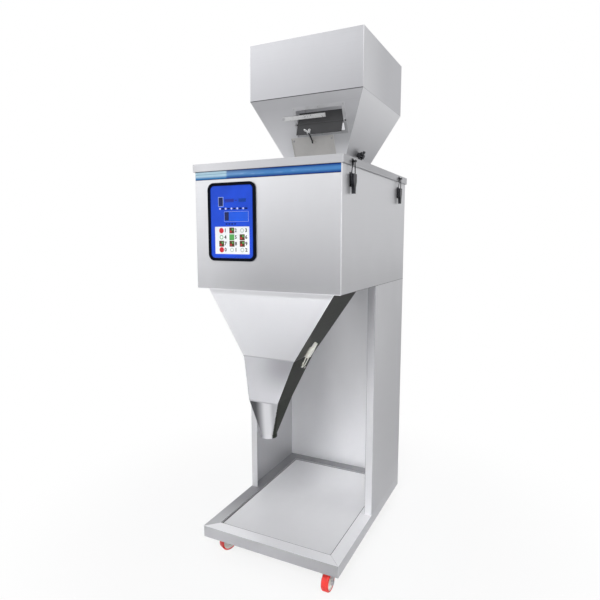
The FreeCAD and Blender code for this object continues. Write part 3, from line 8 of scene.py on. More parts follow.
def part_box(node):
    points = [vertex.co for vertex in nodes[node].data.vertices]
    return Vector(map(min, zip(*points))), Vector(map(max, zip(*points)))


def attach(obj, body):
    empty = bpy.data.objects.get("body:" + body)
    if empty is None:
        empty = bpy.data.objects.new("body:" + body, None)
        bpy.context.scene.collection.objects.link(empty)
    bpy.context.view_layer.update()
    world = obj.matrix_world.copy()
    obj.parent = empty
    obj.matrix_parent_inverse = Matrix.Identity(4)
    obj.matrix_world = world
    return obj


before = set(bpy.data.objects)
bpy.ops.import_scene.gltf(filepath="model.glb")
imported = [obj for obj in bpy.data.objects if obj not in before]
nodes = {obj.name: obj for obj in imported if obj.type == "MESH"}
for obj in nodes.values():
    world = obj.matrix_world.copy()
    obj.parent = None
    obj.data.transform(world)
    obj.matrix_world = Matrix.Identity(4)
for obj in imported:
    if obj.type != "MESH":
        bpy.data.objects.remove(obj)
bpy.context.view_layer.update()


# Sheet steel of the body, column, base, hopper and funnel. Each is folded from 1.5 to 2 mm stainless
# sheet with a fine brushed grain, and wiped down with a cloth that leaves faint broad smears.

class Value:
    """A shader socket that takes part in sums as a number does."""

    def __init__(self, shading, socket):
        self.shading = shading
        self.socket = socket

    def maths(self, operation, *operands):
        """This value, or the first of two operands, and the other put through a Math node."""
        if len(operands) < 2:
            operands = (self, *operands)
        return self.shading.node("ShaderNodeMath", {"operation": operation}, dict(enumerate(operands)))

    def __add__(self, other):
        return self.maths("ADD", other)

    def __radd__(self, other):
        return self.maths("ADD", other, self)

    def __sub__(self, other):
        return self.maths("SUBTRACT", other)

    def __rsub__(self, other):
        return self.maths("SUBTRACT", other, self)

    def __mul__(self, other):
        return self.maths("MULTIPLY", other)

    def __rmul__(self, other):
        return self.maths("MULTIPLY", other, self)

    def __truediv__(self, other):
        return self.maths("DIVIDE", other)

    def __pow__(self, other):
        return self.maths("POWER", other)

    def __gt__(self, other):
        return self.maths("GREATER_THAN", other)

    def __lt__(self, other):
        return self.maths("LESS_THAN", other)

    def __abs__(self):
        return self.maths("ABSOLUTE")

    def between(self, low, high):
        """1 where the value lies from low to high, else 0."""
        return (self > low) * (self < high)

    def ramp(self, start, end, smooth=True):
        """0 at start and before it, 1 at end and after it; start may be the larger."""
        settings = {"interpolation_type": "SMOOTHSTEP" if smooth else "LINEAR"}
        low, high, first, last = (start, end, 0.0, 1.0) if start < end else (end, start, 1.0, 0.0)
        sockets = {0: self, 1: low, 2: high, 3: first, 4: last}
        return self.shading.node("ShaderNodeMapRange", settings, sockets)


class Shading:
    """A tree of shader nodes."""

    def __init__(self, tree):
        self.tree = tree

    def connect(self, socket, value):
        if isinstance(value, Value):
            self.tree.links.new(value.socket, socket)
        elif isinstance(value, tuple) and len(value) == 3 and socket.type == "RGBA":
            socket.default_value = (*value, 1.0)
        else:
            socket.default_value = value

    def node(self, kind, settings, sockets, output=0):
        """Any node: its settings first, then its sockets, as values or links."""
        node = self.tree.nodes.new(kind)
        for key, value in settings.items():
            setattr(node, key, value)
        for key, value in sockets.items():
            self.connect(node.inputs[key], value)
        return Value(self, node.outputs[output])

    def parts(self, vector):
        """The x, y and z of a vector."""
        return [self.node("ShaderNodeSeparateXYZ", {}, {0: vector}, axis) for axis in range(3)]

    def vector(self, x, y, z):
        return self.node("ShaderNodeCombineXYZ", {}, {0: x, 1: y, 2: z})

    def noise(self, where, scale, detail=2.0, roughness=0.5):
        sockets = {"Vector": where, "Scale": scale, "Detail": detail, "Roughness": roughness}
        return self.node("ShaderNodeTexNoise", {}, sockets)

    def blend(self, amount, first, second):
        """The first colour where amount is 0 and the second where it is 1."""
        return self.node("ShaderNodeMix", {"data_type": "RGBA"}, {0: amount, 6: first, 7: second}, 2)

    def rays(self, *kinds):
        """1 for rays of any of these kinds, such as camera rays."""
        seen = 0.0
        for kind in kinds:
            seen = self.node("ShaderNodeLightPath", {}, {}, f"Is {kind} Ray").maths("MAXIMUM", seen)
        return seen


class Finish(Shading):
    """The surface of one kind of piece, built round a Principled shader."""

    def __init__(self, name, metallic=0.0):
        self.material = bpy.data.materials.new(name)
        self.material.use_nodes = True
        super().__init__(self.material.node_tree)
        self.shader = self.tree.nodes["Principled BSDF"]
        self.set("Metallic", metallic)

    def set(self, socket_name, value):
        self.connect(self.shader.inputs[socket_name], value)

    def paint(self, amount, colour):
        """Lays a colour over the finish where amount is 1."""
        self.colour = self.blend(amount, self.colour, colour)
        self.set("Base Color", self.colour)

    def place(self):
        """x, y and z in the machine's frame, in metres."""
        return self.parts(self.node("ShaderNodeTexCoord", {}, {}, "Object"))

    def facing(self):
        """x, y and z of the surface's outward direction."""
        return self.parts(self.node("ShaderNodeNewGeometry", {}, {}, "True Normal"))

    def facing_side(self, start=0.6, end=0.8):
        """1 on faces that look to the left or the right."""
        return abs(self.facing()[0]).ramp(start, end)

    def facing_front(self, start=-0.6, end=-0.8):
        """1 on faces that look towards the operator."""
        return self.facing()[1].ramp(start, end)

    def facing_up(self, start=0.5, end=0.9):
        """1 on faces that look upward."""
        return self.facing()[2].ramp(start, end)

    def bump(self, height, strength, distance):
        sockets = {"Height": height, "Strength": strength, "Distance": distance}
        return self.node("ShaderNodeBump", {}, sockets)


def steel_finish(name, tone, grain, roughness=0.36, metallic=0.7, smears=0.05):
    """Brushed sheet: grain gives how stretched the brushing is along x, y and z."""
    finish = Finish(name, metallic=metallic)
    x, y, z = finish.place()
    brushing = finish.noise(finish.vector(x * grain[0], y * grain[1], z * grain[2]), 1.0, 3.0, 0.6)
    smear = finish.noise(finish.vector(x * 3.1, y * 2.3, z * 1.7), 1.0, 4.0, 0.55)
    bright = tuple(min(c * (1 + smears), 1.0) for c in tone)
    dull = tuple(c * (1 - smears) for c in tone)
    line = tuple(c * 0.93 for c in tone)
    finish.colour = finish.blend(smear.ramp(0.3, 0.7), dull, bright)
    finish.paint((brushing - 0.5).ramp(0.0, 0.3) * 0.5, line)
    finish.set("Roughness", roughness + (brushing - 0.5) * 0.12 + (smear - 0.5) * 0.1)
    finish.set("Normal", finish.bump(brushing, 0.06, 0.0004))
    return finish


def dress(finish, *names):
    """Gives CAD nodes a finish."""
    for name in names:
        mesh = nodes[name].data
        mesh.materials.clear()
        mesh.materials.append(finish.material)


brushed_level = (6, 6, 700)
brushed_upright = (700, 700, 6)
# Painted highlight colour, used on folds and on lit faces.
painted_highlight = (0.97, 0.97, 0.98)
# Painted shade colour, for dark lines where folds, edges and gaps fall into shade.
painted_shade_line = (0.05, 0.05, 0.055)


def paint_fold_highlights(finish, node, width=0.0024):
    """Paints a highlight on the four upright folds of a box-shaped piece, where light catches the bent
    sheet.
    """
    low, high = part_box(node)
    x, y, z = finish.place()
    from_side = (high.x - low.x) / 2 - abs(x - (low.x + high.x) / 2)
    from_front = (high.y - low.y) / 2 - abs(y - (low.y + high.y) / 2)
    finish.paint((from_side + from_front).ramp(width, width * 0.6), painted_highlight)


body_steel = steel_finish("body_steel", (0.70, 0.70, 0.71), brushed_level)
paint_fold_highlights(body_steel, "body_shell")
body_low, body_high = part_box("body_shell")
shade_start, shade_full = 1.27, 0.96
x, y, z = body_steel.place()
front, side = body_steel.facing_front(), body_steel.facing_side()
# Painted shade: the front darkens towards the bottom and the right, and the side gets painted light towards
# the top.
painted_low_shade = z.ramp(shade_start, shade_full, smooth=False)
shade_to_right = 0.35 + 0.65 * x.ramp(-0.24, 0.02)
body_steel.paint(front * painted_low_shade * shade_to_right * 0.95, (0.42, 0.42, 0.43))
body_steel.paint(side * (1.0 - painted_low_shade) * 0.9, (0.80, 0.80, 0.81))
# Painted highlight along the bottom edge, with a painted shade line along it on the sides.
from_bottom = z - body_low.z
body_steel.paint(from_bottom.ramp(0.0022, 0.0012), (0.95, 0.95, 0.96))
body_steel.paint(from_bottom.ramp(0.0018, 0.0008) * side, painted_shade_line)
dress(body_steel, "body_shell")

lid_steel = steel_finish("lid_steel", (0.60, 0.60, 0.61), brushed_level)
paint_fold_highlights(lid_steel, "lid")
x, y, z = lid_steel.place()
# Painted shade: the front darker towards the right and at its left end, the sides darker towards the front.
left_end = 1.0 - x.ramp(-0.25, -0.2)
front_shade = x.ramp(-0.25, 0.0) * 0.5 + left_end * 0.25
lid_steel.paint(lid_steel.facing_front() * front_shade, (0.44, 0.44, 0.45))
lid_steel.paint(lid_steel.facing_side() * y.ramp(0.25, 0.0) * 0.5, (0.40, 0.40, 0.41))
dress(lid_steel, "lid")


# Storage hopper: folded from one sheet with welded back corners. The fold from the upright sides to the
# slope has a painted shade line at the front, and the upright folds carry a painted highlight.

hopper_steel = steel_finish("hopper_steel", (0.62, 0.62, 0.635), brushed_level)
paint_fold_highlights(hopper_steel, "hopper")
slope_fold = 1.571
x, y, z = hopper_steel.place()
above_fold, below_fold = z - slope_fold, slope_fold - z
front, side = hopper_steel.facing_front(-0.5, -0.7), hopper_steel.facing_side(0.4, 0.6)
# Painted shade and painted light: the front wall darker towards the fold, the slope lighter towards its
# foot, the sides lighter towards the front above the fold and towards the fold below it, and a painted
# shade line along the fold.
wall_shade = z.ramp(1.74, 1.58, smooth=False)
slope_light = z.ramp(1.54, 1.36, smooth=False)
side_light = z.ramp(1.36, 1.56, smooth=False)
hopper_steel.paint(above_fold.ramp(0.0, 0.001) * front * wall_shade * 0.75, (0.45, 0.45, 0.465))
hopper_steel.paint(below_fold.ramp(0.0, 0.001) * front * slope_light, painted_highlight)
hopper_steel.paint(above_fold.ramp(0.0, 0.002) * side * y.ramp(0.2, -0.1), (0.78, 0.78, 0.79))
hopper_steel.paint(below_fold.ramp(0.0, 0.002) * side * side_light, (0.93, 0.93, 0.94))
hopper_steel.paint(abs(above_fold).ramp(0.0016, 0.0008) * front, painted_shade_line)
dress(hopper_steel, "hopper")


# Column: a deep folded channel, open to the front, with narrow return flanges down its front edges.
# The body's rear panel is of the same sheet.

column_steel = steel_finish("column_steel", (0.83, 0.83, 0.84), brushed_upright, metallic=0.45)
paint_fold_highlights(column_steel, "column_shell")
column_low, column_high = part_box("column_shell")
column_return = 0.027
x, y, z = column_steel.place()
from_front = y - column_low.y
from_return = abs(abs(x) - (column_high.x - column_return))
# Painted shade: a dark line at each return's fold, side walls darker towards the bottom, the returns' front
# faces darker towards the top, and the left side darker still.
return_shade_line = from_return.ramp(0.0016, 0.0008) * from_front.ramp(0.004, 0.002)
column_steel.paint(return_shade_line, (0.10, 0.10, 0.11))
side = column_steel.facing_side()
side_shade = 0.25 + 0.75 * z.ramp(0.85, 0.2, smooth=False)
column_steel.paint(side * side_shade, (0.52, 0.52, 0.53))
return_shade = 0.4 + 0.6 * z.ramp(0.5, 0.85, smooth=False)
column_steel.paint(from_front.ramp(0.003, 0.002) * return_shade, (0.40, 0.40, 0.415))
left_wall = x.ramp(-0.24, -0.245, smooth=False)
column_steel.paint(side * left_wall * 0.5, (0.5, 0.5, 0.51))
# Painted highlight on the back wall, towards its lower left.
back = (y - column_high.y + 0.01).ramp(0.0, 0.004) * column_steel.facing_front()
column_steel.paint(back * x.ramp(0.05, -0.2) * z.ramp(0.5, 0.2) * 0.9, (0.96, 0.96, 0.97))
dress(column_steel, "column_shell", "rear_panel")


# Base: a low frame with a wide flat rim round a recessed deck plate; the rim's upward faces are painted
# bright as painted light. The dark line between them is a painted shadow in the open gap at the plate's
# edge.

base_steel = steel_finish("base_steel", (0.62, 0.62, 0.635), (6, 700, 700), metallic=0.4)
paint_fold_highlights(base_steel, "base_frame")
upward = base_steel.facing_up()
# Painted light on the upward faces.
base_steel.paint(upward * 0.95, (0.93, 0.93, 0.94))
deck_low, deck_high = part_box("deck_plate")
deck_middle = (deck_low.y + deck_high.y) / 2
deck_half = (deck_high.y - deck_low.y) / 2
x, y, z = base_steel.place()
past_side = abs(x) - deck_high.x
past_end = abs(y - deck_middle) - deck_half
past_edge = past_side.maths("MAXIMUM", past_end)
past_mitre = past_side - past_end
# Painted shade on the left and back rim, darker towards the back, and a dark line along the rim's mitres.
rim_left = (0.0 - x - deck_high.x).ramp(-0.001, 0.001) * past_mitre.ramp(0.0, 0.0006)
rim_back = (y - deck_high.y).ramp(-0.001, 0.001)
rim_shade = rim_left.maths("MAXIMUM", rim_back) * upward
base_steel.paint(rim_shade * (0.6 + 0.4 * y.ramp(-0.32, -0.1)), (0.27, 0.27, 0.28))
base_steel.paint(past_mitre.between(-0.0007, 0.0007) * upward * 0.55, (0.25, 0.25, 0.26))
# Painted shadow line in the gap round the deck, then painted shade on the side faces and on the front
# faces, darker towards the right.
base_steel.paint(past_edge.ramp(0.0024, 0.0014) * upward, painted_shade_line)
base_steel.paint(base_steel.facing_side() * 0.6, (0.5, 0.5, 0.51))
front_shade = 0.4 + 0.6 * x.ramp(-0.2, 0.2, smooth=False)
base_steel.paint(base_steel.facing_front() * front_shade * 0.8, (0.36, 0.36, 0.37))
dress(base_steel, "base_frame")

deck_steel = steel_finish("deck_steel", (0.88, 0.88, 0.89), (6, 700, 6), 0.42, metallic=0.2, smears=0.06)
x, y, z = deck_steel.place()
# Painted shade towards the front, a painted highlight towards the back, and a painted shadow line round the
# edge where the deck sits under the rim.
deck_steel.paint(y.ramp(0.15, -0.28, smooth=False) * 0.8, (0.66, 0.66, 0.67))
deck_steel.paint(y.ramp(0.0, 0.25, smooth=False) * 0.9, painted_highlight)
from_side = (deck_high.x - deck_low.x) / 2 - abs(x)
from_end = deck_half - abs(y - deck_middle)
deck_steel.paint(from_side.maths("MINIMUM", from_end).ramp(0.0034, 0.0022), (0.03, 0.03, 0.035))
dress(deck_steel, "deck_plate")


# Funnel and removable outlet: bright brushed fronts between sides painted near black as painted shade, and
# a painted highlight down each welded front edge. The outlet's front carries painted shade, and a painted
# highlight down the middle of its spout.

funnel_metallic, outlet_metallic = 0.5, 0.75
funnel_steel = steel_finish("funnel_steel", (0.80, 0.80, 0.815), brushed_level, metallic=funnel_metallic)
outlet_steel = steel_finish("outlet_steel", (0.50, 0.50, 0.515), brushed_level, metallic=outlet_metallic)
funnel_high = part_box("funnel")[1]
outlet_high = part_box("outlet")[1]
for finish, metallic in ((funnel_steel, funnel_metallic), (outlet_steel, outlet_metallic)):
    # Painted shade: the side faces are painted near black and made less metallic.
    painted_dark_sides = finish.facing_side(0.75, 0.8)
    finish.paint(painted_dark_sides, (0.022, 0.024, 0.018))
    finish.set("Metallic", metallic * (1.0 - painted_dark_sides))
    finish.set("Specular IOR Level", 0.12)

x, y, z = funnel_steel.place()
slant = (funnel_high.x - outlet_high.x) / (funnel_high.z - outlet_high.z)
above_seam = z - outlet_high.z
from_weld = outlet_high.x + above_seam * slant - abs(x)
front = funnel_steel.facing_front(-0.5, -0.8)
# Painted highlight down each welded front edge.
funnel_steel.paint(from_weld.ramp(0.0028, 0.0016) * front, (0.97, 0.97, 0.96))
funnel_steel.paint(above_seam.ramp(0.0034, 0.0026), (0.07, 0.07, 0.08))
# Painted light on the front's left half, and painted shade towards its right and bottom.
across = x.ramp(-0.16, 0.16, smooth=False)
funnel_steel.paint(front * (1.0 - across) * 0.5, (0.93, 0.93, 0.94))
low_shade = z.ramp(0.92, 0.72, smooth=False)
funnel_steel.paint(front * (0.25 + 0.75 * across) * low_shade, (0.45, 0.45, 0.46))
dress(funnel_steel, "funnel")

spout_top = 0.588
x, y, z = outlet_steel.place()
front = outlet_steel.facing_front(-0.5, -0.8)
outlet_shade = 0.2 + 0.65 * x.ramp(-0.06, 0.06)
# Painted shade on the upper front, darker towards the top and the right; below the spout's top, painted
# shade at the left and a painted highlight down the middle.
outlet_steel.paint(front * z.ramp(0.60, 0.70) * outlet_shade, (0.22, 0.22, 0.23))
spout = (z - spout_top).ramp(0.0, -0.002) * front
outlet_steel.paint(spout * x.ramp(-0.002, -0.03), (0.10, 0.10, 0.105))
outlet_steel.paint(spout * x.ramp(-0.012, 0.006) * x.ramp(0.036, 0.018) * 0.7, (0.90, 0.90, 0.91))
dress(outlet_steel, "outlet")


# Inspection pane: clear acrylic screwed over the window in the lid, with polished edges and a faint
# bloom from wiping.

pane_acrylic = Finish("clear_acrylic")
pane_acrylic.set("Transmission Weight", 1.0)
pane_acrylic.set("IOR", 1.49)
x, y, z = pane_acrylic.place()
bloom = pane_acrylic.noise(pane_acrylic.vector(x * 5, y * 9, z), 1.0, 4.0, 0.6)
pane_acrylic.colour = pane_acrylic.blend(bloom.ramp(0.35, 0.7), (0.93, 0.97, 0.98), (0.88, 0.93, 0.95))
pane_acrylic.set("Base Color", pane_acrylic.colour)
pane_acrylic.set("Roughness", 0.03 + bloom.ramp(0.4, 0.8) * 0.06)
dress(pane_acrylic, "inspection_pane")


# Blue trim film along the top of the body's front: a printed strip under the lid's edge, deep blue
# with navy borders, that fades to a pale sheen towards its left end. It is plain, with no words.

def finished_piece(name, mesh, *finishes, smooth=False, body="machine"):
    """Closes off a bmesh as a piece of the object, in place and riding on its body."""
    data = bpy.data.meshes.new(name)
    mesh.to_mesh(data)
    mesh.free()
    for finish in finishes:
        data.materials.append(finish.material)
    for polygon in data.polygons:
        polygon.use_smooth = smooth
    piece = bpy.data.objects.new(name, data)
    bpy.context.scene.collection.objects.link(piece)
    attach(piece, body)


def add_plate(mesh, x, z, front, thickness, corner=0.0, soft=0.0, rounds=5, slot=0):
    """A flat plate facing the operator, with rounded corners and a softened front rim."""
    verts = bmesh.ops.create_cube(mesh, size=1.0)["verts"]
    bmesh.ops.scale(mesh, vec=(x[1] - x[0], thickness, z[1] - z[0]), verts=verts)
    middle = Vector(((x[0] + x[1]) / 2, front + thickness / 2, (z[0] + z[1]) / 2))
    bmesh.ops.translate(mesh, vec=middle, verts=verts)
    faces = {face for vert in verts for face in vert.link_faces}
    for face in faces:
        face.material_index = slot
    if corner > 0:
        edges = [edge for edge in {e for v in verts for e in v.link_edges}
                 if abs(edge.verts[0].co.y - edge.verts[1].co.y) > thickness / 2]
        made = bmesh.ops.bevel(mesh, geom=edges, offset=corner, segments=rounds, profile=0.5,
                               affect="EDGES", material=-1)
        verts = list({v for v in verts if v.is_valid} | set(made["verts"]))
    if soft > 0:
        rim = [edge for edge in {e for v in verts if v.is_valid for e in v.link_edges}
               if all(abs(v.co.y - front) < 1e-7 for v in edge.verts) and len(edge.link_faces) == 2
               and any(abs(f.normal.y) < 0.5 for f in edge.link_faces)]
        bmesh.ops.bevel(mesh, geom=rim, offset=soft, segments=2, profile=0.5, affect="EDGES", material=-1)


film_thickness = 0.0005
film_inset = 0.003
stripe_low, stripe_high = 1.2735, 1.2998
stripe_finish = Finish("trim_film")
stripe_finish.set("Specular IOR Level", 0.2)
x, y, z = stripe_finish.place()
across = (z - stripe_low) / (stripe_high - stripe_low)
glint = stripe_finish.noise(stripe_finish.vector(x * 22, y, z * 260), 1.0, 3.0, 0.6)
blue = stripe_finish.blend(across.ramp(0.05, 0.45), (0.006, 0.045, 0.26), (0.07, 0.25, 0.57))
blue = stripe_finish.blend(across.ramp(0.6, 0.95), blue, (0.008, 0.06, 0.32))
blue = stripe_finish.blend(glint.ramp(0.5, 0.75) * across.ramp(0.3, 0.5) * across.ramp(0.75, 0.55) * 0.6,
                           blue, (0.42, 0.62, 0.85))
blue = stripe_finish.blend(x.ramp(0.05, -0.13) * across.ramp(0.3, 0.5) * 0.22, blue, (0.5, 0.72, 0.9))
pale = stripe_finish.blend(across.ramp(0.12, 0.5), (0.02, 0.20, 0.50), (0.55, 0.78, 0.90))
pale = stripe_finish.blend(across.between(0.6, 0.68) * 0.55, pale, (0.12, 0.33, 0.52))
fade = x.ramp(-0.125, -0.135)
film = stripe_finish.blend(fade, blue, pale)
film = stripe_finish.blend(1.0 - across.between(0.07, 0.94), film, (0.006, 0.02, 0.10))
stripe_finish.set("Base Color", film)
stripe_finish.set("Roughness", 0.3 + glint * 0.1)
stripe = bmesh.new()
add_plate(stripe, (body_low.x + film_inset, body_high.x - film_inset), (stripe_low, stripe_high),
          body_low.y - 0.0004, film_thickness, corner=0.001, rounds=2)
finished_piece("trim_film", stripe, stripe_finish)


# Keypad: one moulded membrane inside the black surround, with display windows, a row of lamps and a
# white field. Twelve keys stand 0.6 mm over the field, printed with plain shapes and numbers.

def moulded(name, colour, roughness, grain=900.0, strength=0.08, mottle=0.06, coat=0.0, shine=0.5):
    """Moulded plastic or print: a fine pebble, with the colour a little uneven."""
    finish = Finish(name)
    finish.set("Specular IOR Level", shine)
    x, y, z = finish.place()
    where = finish.vector(x, y, z)
    pebble = finish.noise(where, grain, 2.0, 0.5)
    cloud = finish.noise(where, 14.0, 3.0, 0.5)
    lighter = tuple(min(c * (1 + mottle), 1.0) for c in colour)
    darker = tuple(c * (1 - mottle) for c in colour)
    finish.set("Base Color", finish.blend(cloud.ramp(0.35, 0.65), darker, lighter))
    finish.set("Roughness", roughness + (cloud - 0.5) * 0.12)
    finish.set("Normal", finish.bump(pebble, strength, 0.0003))
    finish.set("Coat Weight", coat)
    return finish


bezel_black = moulded("bezel_black", (0.002, 0.003, 0.008), 0.5, shine=0.05)
dress(bezel_black, "panel_bezel")
keypad_blue = moulded("keypad_blue", (0.018, 0.085, 0.72), 0.4, shine=0.15)
dress(keypad_blue, "keypad_panel")
print_white = moulded("print_white", (0.93, 0.94, 0.95), 0.45, mottle=0.02)
print_pale = moulded("print_pale", (0.42, 0.55, 0.95), 0.45)
print_navy = moulded("print_navy", (0.006, 0.014, 0.11), 0.35, shine=0.1)
print_red = moulded("print_red", (0.70, 0.03, 0.045), 0.4, shine=0.2)
print_green = moulded("print_green", (0.10, 0.42, 0.10), 0.4, shine=0.2)
print_brown = moulded("print_brown", (0.10, 0.05, 0.02), 0.4, shine=0.2)
print_grey = moulded("print_grey", (0.015, 0.015, 0.02), 0.45)
window_glass = moulded("window_smoke", (0.006, 0.014, 0.10), 0.2, grain=60.0, strength=0.01, shine=0.2)

keypad_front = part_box("keypad_panel")[0].y
field = bmesh.new()
add_plate(field, (-0.1745, -0.0485), (1.0445, 1.129), keypad_front - 0.0003, 0.0004, corner=0.002, rounds=3)
finished_piece("key_field", field, print_white)

key_columns = (-0.1500, -0.1117, -0.0740)
key_rows = (1.1170, 1.0965, 1.0765, 1.0576)
key_height = 0.0009
key_half = 0.0088
key_left, key_right = 0.0095, 0.0225
key_face = keypad_front - key_height
keys = bmesh.new()
for column in key_columns:
    for row in key_rows:
        add_plate(keys, (column - key_left, column + key_right), (row - key_half, row + key_half),
                  key_face, key_height, corner=0.0025, soft=0.0004, rounds=3)
finished_piece("keys", keys, print_white)

key_signs = ("round_red", "split", "faint", "ring", "square_green", "split", "split", "split", "split",
             "round_red", "faint", "faint")
sign_slots = {"round_red": 0, "ring": 1, "square_green": 1, "split": 2, "faint": 4}
white_slot = 3
sign_half = 0.0090
split_half = sign_half * 0.62 / 2
split_shift = 0.0032
sign_top = key_face - 0.0002
upright = Matrix.Rotation(math.pi / 2, 4, "X")


def square(x, z, half):
    """The x and z spans of a square about a point."""
    return (x - half, x + half), (z - half, z + half)


def add_disc(mesh, place, radius, slot):
    """A thin disc that faces the operator."""
    turn = Matrix.Translation(place) @ upright
    disc = bmesh.ops.create_cone(mesh, cap_ends=True, segments=28, radius1=radius, radius2=radius,
                                 depth=0.0002, matrix=turn)["verts"]
    for face in {f for v in disc for f in v.link_faces}:
        face.material_index = slot


signs = bmesh.new()
for place, sign in enumerate(key_signs):
    column, row = key_columns[place % 3], key_rows[place // 3]
    slot = sign_slots[sign]
    if sign in ("split", "square_green"):
        add_plate(signs, *square(column, row, sign_half), sign_top, 0.00025,
                  corner=0.001, rounds=2, slot=slot)
        if sign == "split":
            for shift, half_slot in ((-split_shift, 0), (split_shift, 1)):
                add_plate(signs, *square(column + shift, row + shift, split_half), sign_top - 0.0001,
                          0.0002, corner=0.0006, rounds=2, slot=half_slot)
    else:
        radius = 0.0084 if sign == "round_red" else 0.0066
        add_disc(signs, (column, sign_top + 0.0001, row), radius, slot)
        if sign != "round_red":
            add_disc(signs, (column, sign_top, row), radius * 0.7, white_slot)
print_faint = moulded("print_faint", (0.45, 0.55, 0.46), 0.45)
finished_piece("key_signs", signs, print_red, print_green, print_brown, print_white, print_faint)

number_size = 0.0150
number_shift = 0.0145
number_pieces = []
for place in range(12):
    column, row = key_columns[place % 3], key_rows[place // 3]
    text = bpy.data.curves.new(f"number_{place}", "FONT")
    text.body = str((place + 1) % 10) if place < 10 else str(place - 9)
    text.size = number_size
    text.align_x, text.align_y = "CENTER", "CENTER"
    text.extrude = 0.00015
    text.offset = 0.0005
    text.resolution_u = 3
    label = bpy.data.objects.new(f"number_{place}", text)
    bpy.context.scene.collection.objects.link(label)
    label.matrix_world = Matrix.Translation((column + number_shift, key_face - 0.0001, row)) @ upright
    number_pieces.append(label)
bpy.context.view_layer.update()
numbers = bmesh.new()
for label in number_pieces:
    flat = bpy.data.meshes.new_from_object(label)
    flat.transform(label.matrix_world)
    numbers.from_mesh(flat)
    bpy.data.objects.remove(label)
    bpy.data.meshes.remove(flat)
bmesh.ops.remove_doubles(numbers, verts=numbers.verts, dist=0.00001)
finished_piece("key_numbers", numbers, print_grey)

display_thickness = 0.0005
display_plates = (((-0.1605, -0.1415), (1.1905, 1.2195), 0.0004, 0),
                  ((-0.1590, -0.1430), (1.1920, 1.2180), 0.0006, 1),
                  ((-0.1390, -0.0510), (1.1440, 1.1750), 0.0004, 0),
                  ((-0.1382, -0.0518), (1.1448, 1.1742), 0.0006, 2),
                  ((-0.1372, -0.1220), (1.1480, 1.1732), 0.0008, 1))
displays = bmesh.new()
for span_x, span_z, proud, slot in display_plates:
    add_plate(displays, span_x, span_z, keypad_front - proud, display_thickness,
              corner=0.001, rounds=2, slot=slot)
display_blue = moulded("display_blue", (0.012, 0.11, 0.80), 0.25, grain=60.0, strength=0.01, shine=0.2)
finished_piece("display_windows", displays, print_pale, window_glass, display_blue)


print_thickness = 0.0003
print_front = keypad_front - print_thickness
digit_width, digit_height = 0.0048, 0.0092
digit_low = 1.2035
digit_pitch = 0.0066


def add_digit(mesh, left, slot):
    """A seven-bar digit with all its bars: three level ones, then two pairs of upright ones."""
    thick = digit_width * 0.2
    middle = digit_low + digit_height / 2
    right, high = left + digit_width, digit_low + digit_height
    upper = (middle + thick / 2, high - thick)
    lower = (digit_low + thick, middle - thick / 2)
    bars = (((left, right), (high - thick, high)),
            ((left, right), (middle - thick / 2, middle + thick / 2)),
            ((left, right), (digit_low, digit_low + thick)),
            ((left, left + thick), upper),
            ((left, left + thick), lower),
            ((right - thick, right), upper),
            ((right - thick, right), lower))
    for span_x, span_z in bars:
        add_plate(mesh, span_x, span_z, print_front, print_thickness, slot=slot)


digits = bmesh.new()
for place in range(5):
    add_digit(digits, -0.1355 + place * digit_pitch, 0)
for place in range(4):
    add_digit(digits, -0.0850 + place * digit_pitch, 1)
add_plate(digits, (-0.0985, -0.0925), (1.2074, 1.2088), print_front, print_thickness, slot=0)
print_dark_green = moulded("print_dark_green", (0.006, 0.045, 0.07), 0.3, shine=0.1)
print_dark_red = moulded("print_dark_red", (0.05, 0.015, 0.05), 0.3, shine=0.1)
finished_piece("display_digits", digits, print_dark_red, print_dark_green)

lamp_pitch = 0.0212
lamp_radius = 0.0031
mark_thickness = 0.0004
lamps = bmesh.new()
for place in range(5):
    centre = -0.1545 + place * lamp_pitch
    turn = Matrix.Translation((centre, keypad_front, 1.1838)) @ Matrix.Diagonal((1, 0.45, 1, 1))
    bmesh.ops.create_uvsphere(lamps, u_segments=20, v_segments=12, radius=lamp_radius, matrix=turn)
    add_plate(lamps, (centre + 0.0055, centre + 0.0155), (1.1815, 1.1861), print_front, mark_thickness,
              corner=0.0008, rounds=2, slot=1)
lamp_lens = moulded("lamp_lens", (0.75, 0.80, 0.95), 0.2, grain=80.0, strength=0.02, coat=0.5)
finished_piece("indicator_lamps", lamps, lamp_lens, print_navy, smooth=True)

marks = bmesh.new()
for place in range(4):
    centre = -0.1310 + place * 0.0105
    add_plate(marks, (centre - 0.0032, centre + 0.0032), (1.1352, 1.1392), print_front, mark_thickness,
              corner=0.0008, rounds=2)
finished_piece("panel_marks", marks, print_navy)


# Material valve on the hopper's slope: a dark flap between bright stainless pieces, all of them small sheet
# or turned parts with a satin finish.

def metal(name, colour, roughness, metallic=1.0, grain=260.0, wear=0.06):
    """Plain turned, pressed or plated metal: a fine uneven satin that rubs a little duller in patches."""
    finish = Finish(name, metallic=metallic)
    x, y, z = finish.place()
    where = finish.vector(x, y, z)
    satin = finish.noise(where, grain, 3.0, 0.6)
    patch = finish.noise(where, 24.0, 3.0, 0.55)
    lighter = tuple(min(c * (1 + wear), 1.0) for c in colour)
    darker = tuple(c * (1 - wear) for c in colour)
    finish.colour = finish.blend(patch.ramp(0.35, 0.65), darker, lighter)
    finish.set("Base Color", finish.colour)
    finish.set("Roughness", roughness + (satin - 0.5) * 0.14 + (patch - 0.5) * 0.12)
    finish.set("Normal", finish.bump(satin, 0.05, 0.0003))
    return finish


